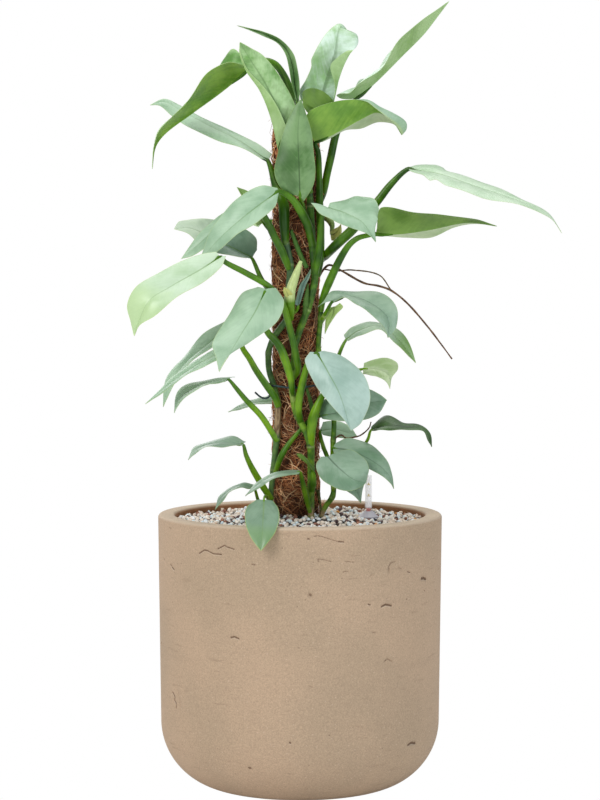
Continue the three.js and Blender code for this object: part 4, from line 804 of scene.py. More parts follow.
coir_material, coir, coir_shader = new_material("coir_fibre", Roughness=0.78)
coir_shader.inputs["Specular IOR Level"].default_value = 0.3
here = object_place(coir)
fibre_shade = kept(coir, "shade")
shades = add(coir, "ShaderNodeValToRGB", {0: fibre_shade})
ramp = shades.color_ramp
stops = [(0.0, (88, 46, 22)), (0.3, (160, 96, 58)), (0.68, (214, 148, 100)), (1.0, (250, 214, 168))]
for element, (position, colour) in zip(ramp.elements, (stops[0], stops[-1])):
    element.position = position
    element.color = plain(*colour)
for position, colour in stops[1:-1]:
    ramp.elements.new(position).color = plain(*colour)
damp = spread(height_of(here), DRY_ABOVE, DAMP_BELOW)
damp = times(damp, spread(noise(here, 60.0), 0.3, 0.6, 0.45, 1.0))
colour = blend(times(damp, 0.75), shades.outputs[0], plain(36, 34, 18))
patches = spread(noise(here, 46.0, 3.0), 0.3, 0.7, 0.75, 1.3)
speck, rough = grain(here, 1500.0, 0.5)
finish_surface(coir_shader, shaded(shaded(colour, patches), speck), rough, 0.2 * MM)

core_material, husk, husk_shader = new_material("coir_mat", Roughness=0.95)
here = object_place(husk)
twisted = drawn_out(here, (1, 1, 0.35))
strands = noise(twisted, 420.0, 4.0, 0.7)
tone = blend(spread(strands, 0.35, 0.65), plain(58, 32, 19), plain(120, 76, 48))
finish_surface(husk_shader, tone, strands, 1.5 * MM)
dress(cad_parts["coir_pole"], core_material)


def fibre_sheet():
    """The sleeve's side and top laid out flat, as the ground that the fibres are strewn on."""
    across = math.pi * POLE_RADIUS
    high = (POLE_TOP - FIBRE_START) / 2
    over = POLE_RADIUS - CORE_RADIUS
    return new_object("fibre_sheet", [(-across, -high, 0), (across, -high, 0), (across, high + over, 0),
                                      (-across, high + over, 0)], [(0, 1, 2, 3)], [])


FIBRE_SETS = {
    "coir_fibres": dict(Density=34000.0, Shortest=0.012, Longest=0.036, Thickness=FIBRE_RADIUS,
                        Depth=2.4 * MM, Lift=0.0, Wander=0.014, Seed=3),
    "coir_strands": dict(Density=8500.0, Shortest=0.012, Longest=0.034, Thickness=0.75 * MM, Depth=2.6 * MM,
                         Lift=0.8 * MM, Wander=0.014, Seed=15),
    "coir_loose_fibres": dict(Density=8000.0, Shortest=0.010, Longest=0.030, Thickness=0.25 * MM,
                              Depth=2.4 * MM, Lift=6.5 * MM, Wander=0.018, Seed=8),
}
for fibre_name, fibre_sizes in FIBRE_SETS.items():
    fibres = grow(fibre_name, fibre_sheet(), fibre_tree, {**fibre_sizes, "Material": coir_material})
    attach(fibres, "root")


# Stake. A round softwood stake stands in the middle of the sleeve, and its sawn end just shows on top.
wood_material, wood, wood_shader = new_material("stake_wood", Roughness=0.7)
here = object_place(wood)
ringed = add(wood, "ShaderNodeMapping", {
    "Vector": here, "Location": (-POLE_X - 3 * MM, 0, 0), "Scale": (1, 1, 0.03)})
rings = add(wood, "ShaderNodeTexWave", {
    "Vector": ringed.outputs[0], "Scale": 260.0, "Distortion": 1.2, "Detail": 3.0, "Detail Scale": 30.0},
    wave_type="RINGS", rings_direction="Z")
tone = blend(rings.outputs["Fac"], plain(186, 148, 102), plain(142, 102, 62))
speck, rough = grain(here, 900.0, 0.35)
finish_surface(wood_shader, shaded(tone, speck), rings.outputs["Fac"], 0.3 * MM)
dress(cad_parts["pole_stake"], wood_material)


# Water gauge. A clear plastic tube closed at the top stands in the fill, with a red-headed float rod
# inside it, two ticks printed on it, and a grey moulded cone where it leaves the granules.
GAUGE_TOP = 386 * MM
GAUGE_BOTTOM = 40 * MM
TUBE_OUTER = 4.3 * MM
TUBE_INNER = 3.2 * MM
TUBE_CAP = 1.6 * MM
EDGE_ROUND = 0.35 * MM
FLOAT_RADIUS = 2.6 * MM
ROD_RADIUS = 1.2 * MM
FLOAT_HEAD = 345 * MM
COLLAR_FOOT = 333.4 * MM
COLLAR_GAP = 0.3 * MM
TICK_HEIGHTS = {"tick_upper": 374.6 * MM, "tick_lower": 360.6 * MM}

HAZE = 0.4
HAZE_AT_HEAD = 0.08
# The plastic glows faintly: painted light that brightens the tube.
clear_material, clear, clear_shader = new_material(
    "clear_plastic", Base_Color=plain(248, 246, 248), Roughness=0.3, IOR=1.49, Alpha=HAZE,
    Emission_Color=(1, 1, 1, 1), Emission_Strength=0.14)
here = object_place(clear)
dull = spread(noise(here, 220.0, 3.0), 0.4, 0.7, 0.2, 0.4)
clear.links.new(dull, clear_shader.inputs["Roughness"])
near_head = spread(height_of(here), FLOAT_HEAD + 2 * MM, FLOAT_HEAD, HAZE, HAZE_AT_HEAD)
clear.links.new(near_head, clear_shader.inputs["Alpha"])
tube_profile = [
    (0, GAUGE_TOP - TUBE_CAP), (TUBE_INNER - EDGE_ROUND, GAUGE_TOP - TUBE_CAP),
    (TUBE_INNER, GAUGE_TOP - TUBE_CAP - EDGE_ROUND), (TUBE_INNER, GAUGE_BOTTOM + EDGE_ROUND),
    (TUBE_INNER + EDGE_ROUND, GAUGE_BOTTOM), (TUBE_OUTER - EDGE_ROUND, GAUGE_BOTTOM),
    (TUBE_OUTER, GAUGE_BOTTOM + EDGE_ROUND),
    *arc(TUBE_OUTER - EDGE_ROUND, GAUGE_TOP - EDGE_ROUND, EDGE_ROUND, 0, 90, 4), (0, GAUGE_TOP),
]


def turned(name, profile, segments, material, node):
    """A turned piece of the gauge, which stands for its CAD node."""
    points, faces = lathe(profile, segments, (GAUGE_X, 0))
    made = new_object(name, points, faces, [material])
    made.data.set_sharp_from_angle(angle=math.radians(35))
    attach(made, "root")
    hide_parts(node)
    return made


turned("clear_tube", tube_profile, 40, clear_material, "gauge_tube")

red_material, red, red_shader = new_material("float_red", Roughness=0.42)
here = object_place(red)
head = spread(height_of(here), FLOAT_HEAD - 7 * MM, FLOAT_HEAD - 6 * MM)
tone = blend(head, plain(226, 222, 214), plain(190, 40, 10))
speck, rough = grain(here, 1400.0, 0.2)
finish_surface(red_shader, shaded(tone, speck), rough, 0.05 * MM)
turned("float_rod", [
    (0, 52 * MM), (FLOAT_RADIUS - EDGE_ROUND, 52 * MM), (FLOAT_RADIUS, 52 * MM + EDGE_ROUND),
    (FLOAT_RADIUS, 67 * MM), (ROD_RADIUS, 68 * MM), (ROD_RADIUS, FLOAT_HEAD - 6.6 * MM),
    (FLOAT_RADIUS, FLOAT_HEAD - 6 * MM),
    *arc(FLOAT_RADIUS - 2 * EDGE_ROUND, FLOAT_HEAD - 2 * EDGE_ROUND, 2 * EDGE_ROUND, 0, 90, 4),
    (0, FLOAT_HEAD),
], 24, red_material, "gauge_float")

grey_material, grey, grey_shader = new_material("moulded_grey", Roughness=0.4)
here = object_place(grey)
speck, rough = grain(here, 1100.0, 0.16)
# The cone is darker at its foot, painted shade where it meets the granules.
foot_shade = spread(height_of(here), COLLAR_FOOT + 2.4 * MM, COLLAR_FOOT + 0.8 * MM)
tone = blend(times(foot_shade, 0.6), plain(198, 193, 202), plain(122, 120, 134))
finish_surface(grey_shader, shaded(tone, speck), rough, 0.06 * MM)
turned("gauge_cone", [
    (TUBE_OUTER + COLLAR_GAP, COLLAR_FOOT), (12.6 * MM, COLLAR_FOOT), (12.9 * MM, COLLAR_FOOT + 0.5 * MM),
    (12.9 * MM, COLLAR_FOOT + 1.1 * MM), (12.3 * MM, COLLAR_FOOT + 1.8 * MM),
    (9.2 * MM, COLLAR_FOOT + 4.2 * MM), (7.2 * MM, COLLAR_FOOT + 6.2 * MM),
    (6.0 * MM, COLLAR_FOOT + 7.8 * MM), (5.4 * MM, COLLAR_FOOT + 8.2 * MM),
    (TUBE_OUTER + COLLAR_GAP, COLLAR_FOOT + 8.2 * MM),
], 48, grey_material, "gauge_collar")

tick_material, ticked, tick_shader = new_material("tick_ochre", Roughness=0.5)
here = object_place(ticked)
speck, rough = grain(here, 2200.0, 0.3)
finish_surface(tick_shader, shaded(plain(228, 190, 52)[:3], speck), rough, 0.02 * MM)


def curved_tick(centre_height, start, end, thick):
    """A printed bar that lies on the tube, between two angles from the front."""
    outer = TUBE_OUTER + 0.06 * MM
    points = []
    for radius in (TUBE_OUTER - 0.05 * MM, outer):
        for rise in (-thick / 2, thick / 2):
            for angle in np.radians(np.linspace(start, end, 7)):
                points.append((GAUGE_X + radius * math.sin(angle), -radius * math.cos(angle),
                               centre_height + rise))
    low_in, high_in, low_out, high_out = (list(range(7 * i, 7 * i + 7)) for i in range(4))
    faces = []
    for i in range(6):
        faces += [(low_out[i], low_out[i + 1], high_out[i + 1], high_out[i]),
                  (low_in[i + 1], low_in[i], high_in[i], high_in[i + 1]),
                  (high_out[i], high_out[i + 1], high_in[i + 1], high_in[i]),
                  (low_in[i], low_in[i + 1], low_out[i + 1], low_out[i])]
    faces += [(low_in[0], low_out[0], high_out[0], high_in[0]),
              (low_out[6], low_in[6], high_in[6], high_out[6])]
    return points, faces


tick_points = []
tick_faces = []
for tick_height in TICK_HEIGHTS.values():
    for rise, start, end, thick in ((0, -24, 34, 0.7 * MM), (1.4 * MM, -6, 12, 1.6 * MM)):
        points, faces = curved_tick(tick_height + rise, start, end, thick)
        tick_faces += [tuple(i + len(tick_points) for i in face) for face in faces]
        tick_points += points
ticks = new_object("gauge_ticks", tick_points, tick_faces, [tick_material], smooth=False)
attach(ticks, "root")


# Stems. Three stems climb the front of the pole and one its back. Each is green and jointed, with a pale
# ring and a scar at every node, and holds on by aerial roots, some thin and dry, some short and thick.
STEM_DEPTH = 265 * MM
STEM_SIDES = 14
STEMS = {
    "stem_left": dict(
        path=[(269, 516, -20), (272, 482, -20), (276, 445, -25), (277.5, 424, -28), (278, 404, -29),
              (275.5, 393, -27), (273, 383, -25), (269.5, 372, -21), (268.3, 361, -20), (269, 350, -19.5),
              (274, 337, -23), (282, 326, -30), (289, 316, -34), (291, 304, -34.5), (289, 290, -34.5),
              (290, 275, -34.5), (290, 262, -34.5), (285, 240, -34.5)],
        radii=[3.2, 3.3, 3.4, 3.5, 3.9, 4, 3.9, 3.6, 3.8, 4, 4.2, 4.2],
        nodes=[497, 470, 438, 404, 353, 318, 265, 243], bark=(406, 433), roots=[]),
    "stem_middle": dict(
        path=[(311, 516, -35), (311, 485, -35), (311, 461, -36), (310.5, 446, -40), (306, 432, -41),
              (300.5, 422, -41), (295.5, 410, -39), (292.8, 395, -37), (291.5, 384, -36), (291, 373, -36),
              (293.6, 360, -36), (294.5, 348, -36), (296, 343, -35.5), (299.5, 331, -35), (304, 319, -35),
              (308, 308, -35), (314, 285, -34), (315, 272, -34), (313, 255, -34), (312, 235, -35),
              (310, 200, -35), (307, 160, -35), (305, 130, -35)],
        radii=[3.6, 4, 4.2, 4.4, 4.2, 4, 3.4, 4.4, 4.4, 4.4, 4.2, 4, 3.6],
        nodes=[486, 446, 416, 386.5, 371, 310, 271, 244, 206, 168, 140], bark=(508, 516), pale=(387, 402),
        roots=[
            dict(path=[(305, 316, -36), (306, 300, -41), (308, 284, -39)], radii=[3, 3.6, 1], dry=0.1),
            dict(path=[(307, 268, -36), (300, 254, -35), (291, 230, -33)], radii=[2.8, 3.2, 2.2], dry=0.0),
            dict(path=[(308, 438, -40), (313, 420, -37.5), (311, 404, -36), (307.5, 391, -34),
                       (305, 383, -32.5)],
                 radii=[2.2, 3, 2.6, 1.2], dry=0.05)]),
    "stem_right": dict(
        path=[(321, 517, -22), (326, 506, -23), (333, 495, -25), (333, 478, -25), (333, 462, -25),
              (333, 445, -25), (334, 421, -25), (331, 400, -24), (327, 382, -23), (320.5, 364, -21),
              (318.5, 350, -20), (319, 335, -20), (320.5, 320, -21), (321, 308, -22)],
        radii=[2.4, 3, 3.2, 3.4, 3.2, 3, 3, 3.2, 3.2],
        nodes=[497, 478, 460, 440, 416, 388, 352, 318], bark=(510, 517),
        roots=[
            dict(path=[(322, 517, -22), (320, 503, -25), (318, 490, -27)], radii=[1.4, 1.4, 2.6], dry=0.55),
            dict(path=[(333, 440, -25), (341, 435, -30), (346, 438, -30), (355, 437, -30), (361, 435, -30),
                       (369, 428, -31), (371, 422, -33)], radii=[1.1, 1, 0.8], dry=1.0)]),
    "stem_back": dict(
        path=[(303, 518, 35), (300, 450, 35), (304, 400, 35), (302, 340, 35), (304, 280, 35),
              (303, 220, 35), (304, 180, 35), (304, 145, 35)],
        radii=[3.8, 4.4, 4.4, 4, 3.6],
        nodes=[480, 440, 402, 348, 300, 262, 236, 208, 168], bark=(500, 518),
        roots=[
            dict(path=[(305, 286, 35), (317, 279, 24), (324, 269, 10), (330, 265, 2), (342, 271, -2),
                       (364, 283, -6), (379, 286, -7), (392, 291, -8), (408, 304, -10), (428, 327, -14),
                       (441, 344, -16), (452, 359, -18)], radii=[1.5, 1.4, 1.3, 1.2, 0.9], dry=1.0),
            dict(path=[(324, 269, 11), (335, 271, 8), (352, 270, 1), (379, 275, -3), (391, 290, -8)],
                 radii=[0.9, 0.9, 0.8], dry=0.9)]),
}


def at(point):
    """A point of the front view, across and down in its units with a depth in millimetres, in the frame."""
    across, down, depth = point
    ray = sight_line(across, down)
    return np.array(EYE + ray * ((depth * MM - EYE.y) / ray.y))


def smooth_line(points):
    """A smooth line through points, as a function of shares of the chord length from 0 to 1."""
    points = np.array(points, float)
    knots = np.concatenate([[0], np.cumsum(np.linalg.norm(np.diff(points, axis=0), axis=1))])
    last = len(points) - 1
    before = np.maximum(np.arange(last + 1) - 1, 0)
    after = np.minimum(np.arange(last + 1) + 1, last)
    slopes = (points[after] - points[before]) / (knots[after] - knots[before])[:, None]

    def place(shares):
        reach = np.asarray(shares, float) * knots[-1]
        i = np.clip(np.searchsorted(knots, reach) - 1, 0, last - 1)
        span = (knots[i + 1] - knots[i])[..., None]
        t = (reach - knots[i])[..., None] / span
        return (points[i] * (2 * t**3 - 3 * t**2 + 1) + slopes[i] * (t**3 - 2 * t**2 + t) * span
                + points[i + 1] * (3 * t**2 - 2 * t**3) + slopes[i + 1] * (t**3 - t**2) * span)

    return place, knots[-1]


def unit(vectors):
    """Vectors of length 1."""
    return vectors / np.maximum(np.linalg.norm(vectors, axis=-1, keepdims=True), 1e-12)


def bar(path, radii, sides, step, swell=None, groove=None, closed=False):
    """A bar along a path. Swell gives a factor of the radius for each share of the length, and groove a
    factor for each share and each angle from the side that looks at the pole. Returns the points, the
    faces, and each point's share of the length and angle."""
    line, length = smooth_line(path)
    rings = max(4, round(length / step))
    shares = np.linspace(0, 1, rings + 1)[: rings if closed else None]
    centres = line(shares)
    tangents = unit(line(np.minimum(shares + 0.01, 1)) - line(np.maximum(shares - 0.01, 0)))
    girth = np.interp(shares, np.linspace(0, 1, len(radii)), radii) * MM
    if swell is not None:
        girth = girth * swell(shares)
    inward = np.array([POLE_X, 0, 0]) - centres
    inward[:, 2] = 0.35 * np.linalg.norm(inward, axis=1)
    side = unit(inward - tangents * np.sum(inward * tangents, axis=1)[:, None])
    for i in range(1, len(side)):
        carried = side[i - 1] - tangents[i] * np.dot(side[i - 1], tangents[i])
        side[i] = unit(0.8 * unit(carried) + 0.2 * side[i])
        side[i] = unit(side[i] - tangents[i] * np.dot(side[i], tangents[i]))
    other = np.cross(tangents, side)
    angles = 2 * math.pi * np.arange(sides) / sides
    form = np.ones((len(shares), sides))
    if groove is not None:
        form = groove(shares[:, None], angles[None, :])
    reach = girth[:, None] * form
    points = (centres[:, None, :] + side[:, None, :] * (np.cos(angles) * reach)[..., None]
              + other[:, None, :] * (np.sin(angles) * reach)[..., None])
    count = len(shares)
    faces = []
    for ring in range(count if closed else count - 1):
        low = ring * sides
        high = ((ring + 1) % count) * sides
        faces += [(low + k, low + (k + 1) % sides, high + (k + 1) % sides, high + k) for k in range(sides)]
    if not closed:
        faces += [tuple(range(sides - 1, -1, -1)), tuple(range((count - 1) * sides, count * sides))]
    return points.reshape(-1, 3), faces, np.repeat(shares, sides), np.tile(angles, count)


def joined(pieces):
    """Several sets of points and faces as one, with each set's number on its faces."""
    points = []
    faces = []
    marks = []
    start = 0
    for number, (piece_points, piece_faces) in enumerate(pieces):
        points.append(piece_points)
        faces += [tuple(i + start for i in face) for face in piece_faces]
        marks += [number] * len(piece_faces)
        start += len(piece_points)
    return np.concatenate(points), faces, marks


# The stems' skin is green with fine lengthwise streaks. It is painted yellower and lighter low down, where
# more light falls on it, greyer on one stem, paler at a young joint and at the rings, and dry bark at the
# foot.
SHADED_ABOVE = 660 * MM
LIT_BELOW = 500 * MM


def greens(place, mottle, upper, lower):
    """A mottled green, one pair of tones high on the plant and one pair low down, painted lighter where more
    light falls.
    """
    low_down = spread(height_of(place), SHADED_ABOVE, LIT_BELOW)
    return blend(low_down, blend(mottle, *upper), blend(mottle, *lower))


stem_material, stem_skin, stem_shader = new_material("stem_skin", Roughness=0.4, Specular_IOR_Level=0.32)
here = object_place(stem_skin)
streaked = drawn_out(here, (1, 1, 0.12))
streaks = noise(streaked, 700.0, 3.0, 0.6)
mottle = spread(noise(here, 90.0, 3.0), 0.35, 0.68)
tone = greens(here, mottle, (plain(30, 66, 2), plain(76, 124, 14)), (plain(58, 104, 4), plain(126, 168, 30)))
tone = blend(kept(stem_skin, "grey"), tone, plain(84, 112, 84))
tone = blend(kept(stem_skin, "young"), tone, plain(158, 180, 92))
tone = blend(kept(stem_skin, "ring"), tone, plain(172, 186, 124))
bark_tone = blend(spread(streaks, 0.4, 0.62), plain(188, 158, 120), plain(104, 78, 52))
tone = blend(kept(stem_skin, "bark"), tone, bark_tone)
tone = blend(kept(stem_skin, "scar"), tone, plain(60, 46, 30))
tone = shaded(tone, spread(streaks, 0.3, 0.7, 0.84, 1.14))
finish_surface(stem_shader, tone, streaks, 0.3 * MM, 0.6)

root_material, root_skin, root_shader = new_material("aerial_root", Roughness=0.72)
here = object_place(root_skin)
rough_bark = noise(here, 480.0, 4.0, 0.7)
dry_tone = blend(spread(rough_bark, 0.35, 0.68), plain(54, 36, 24), plain(138, 100, 66))
live_tone = blend(rough_bark, plain(50, 95, 22), plain(84, 128, 46))
tone = blend(kept(root_skin, "dry"), live_tone, dry_tone)
finish_surface(root_shader, tone, rough_bark, 0.5 * MM)

NODE_SWELL = 0.16
NODE_LENGTH = 3.6 * MM
STEM_STEP = 2.2 * MM
ROOT_SIDES = 8
GREY_SHARES = {"stem_left": 0.6}
OTHER_GREY = 0.12

for stem_name, stem in STEMS.items():
    path = [at(point) for point in stem["path"]]
    path = [np.array([path[0][0], path[0][1], STEM_DEPTH]), *path]
    line, length = smooth_line(path)
    trial = np.linspace(0, 1, 400)
    trial_heights = line(trial)[:, 2]
    middle_depth = stem["path"][len(stem["path"]) // 2][2]
    node_heights = [at((300, down, middle_depth))[2] for down in stem["nodes"]]
    node_shares = np.interp(node_heights, trial_heights, trial)
    bark_shares = sorted(np.interp([at((300, down, middle_depth))[2] for down in stem["bark"]],
                                   trial_heights, trial))
    width = NODE_LENGTH / length

    def swell(shares):
        """A stem thickens a little at each node."""
        rise = sum(np.exp(-((shares - node) / width) ** 2) for node in node_shares)
        return 1 + NODE_SWELL * rise

    points, faces, shares, angles = bar(path, stem["radii"], STEM_SIDES, STEM_STEP, swell)
    ring = sum(np.exp(-((shares - node) / (0.26 * width)) ** 2) for node in node_shares)
    scars = sum(np.exp(-((shares - node - 0.55 * width) / (0.13 * width)) ** 2) for node in node_shares)
    bark = 1 / (1 + np.exp(-(shares - bark_shares[0]) / (0.4 * width)))
    bark *= 1 / (1 + np.exp((shares - bark_shares[1]) / (0.4 * width)))
    young = np.zeros(len(points))
    if "pale" in stem:
        high, low = (at((300, down, middle_depth))[2] for down in stem["pale"])
        young = 0.75 * np.clip((points[:, 2] - low) / MM, 0, 1) * np.clip((high - points[:, 2]) / MM, 0, 1)
    pieces = [(points, faces)]
    dryness = [np.zeros(len(points))]
    for root in stem["roots"]:
        root_points, root_faces, _, _ = bar(
            [at(point) for point in root["path"]], root["radii"], ROOT_SIDES, STEM_STEP,
            lambda s: 1 + 0.14 * np.sin(s * 61) * np.sin(s * 23 + 1))
        pieces.append((root_points, root_faces))
        dryness.append(np.full(len(root_points), root["dry"]))
    all_points, all_faces, face_marks = joined(pieces)
    rest = len(all_points) - len(points)
    grey = np.full(len(points), GREY_SHARES.get(stem_name, OTHER_GREY))
    stem_values = {"ring": np.clip(ring, 0, 1) * 0.5, "scar": np.clip(scars, 0, 1) * 0.7, "bark": bark,
                   "grey": grey, "young": young}
    values = {name: np.concatenate([numbers, np.zeros(rest)]) for name, numbers in stem_values.items()}
    values["dry"] = np.concatenate(dryness)
    stem_object = new_object(f"{stem_name}_skin", all_points, all_faces, [stem_material, root_material],
                             np.minimum(face_marks, 1), values)
    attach(stem_object, "root")
    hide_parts(stem_name)


# Leaves. Each blade is one thin, smooth, silvery green sheet with a midrib, on a fleshy grooved leaf
# stalk. The lists are points of the front view with a depth in millimetres: the stalk from its stem to
# the blade, the rib from base to tip, and the two edges from the back of each lobe towards the tip. A
# fold is the line on which a curled half turns over, and face is where the silver side looks.
BLADE_MIDDLE = 1.7 * MM
BLADE_EDGE = 0.55 * MM
BLADE_SHARP_ANGLE = 50
RIB_WIDTH = 1.6 * MM
CAMBER = 0.07
BLADE_END = 0.985
VEIN_SPACING = 7.4 * MM
QUILT = 0.045 * MM
STALK_SIDES = 12
WING_ANGLE = 0.85
STALK_JOINS_RIB = 0.14

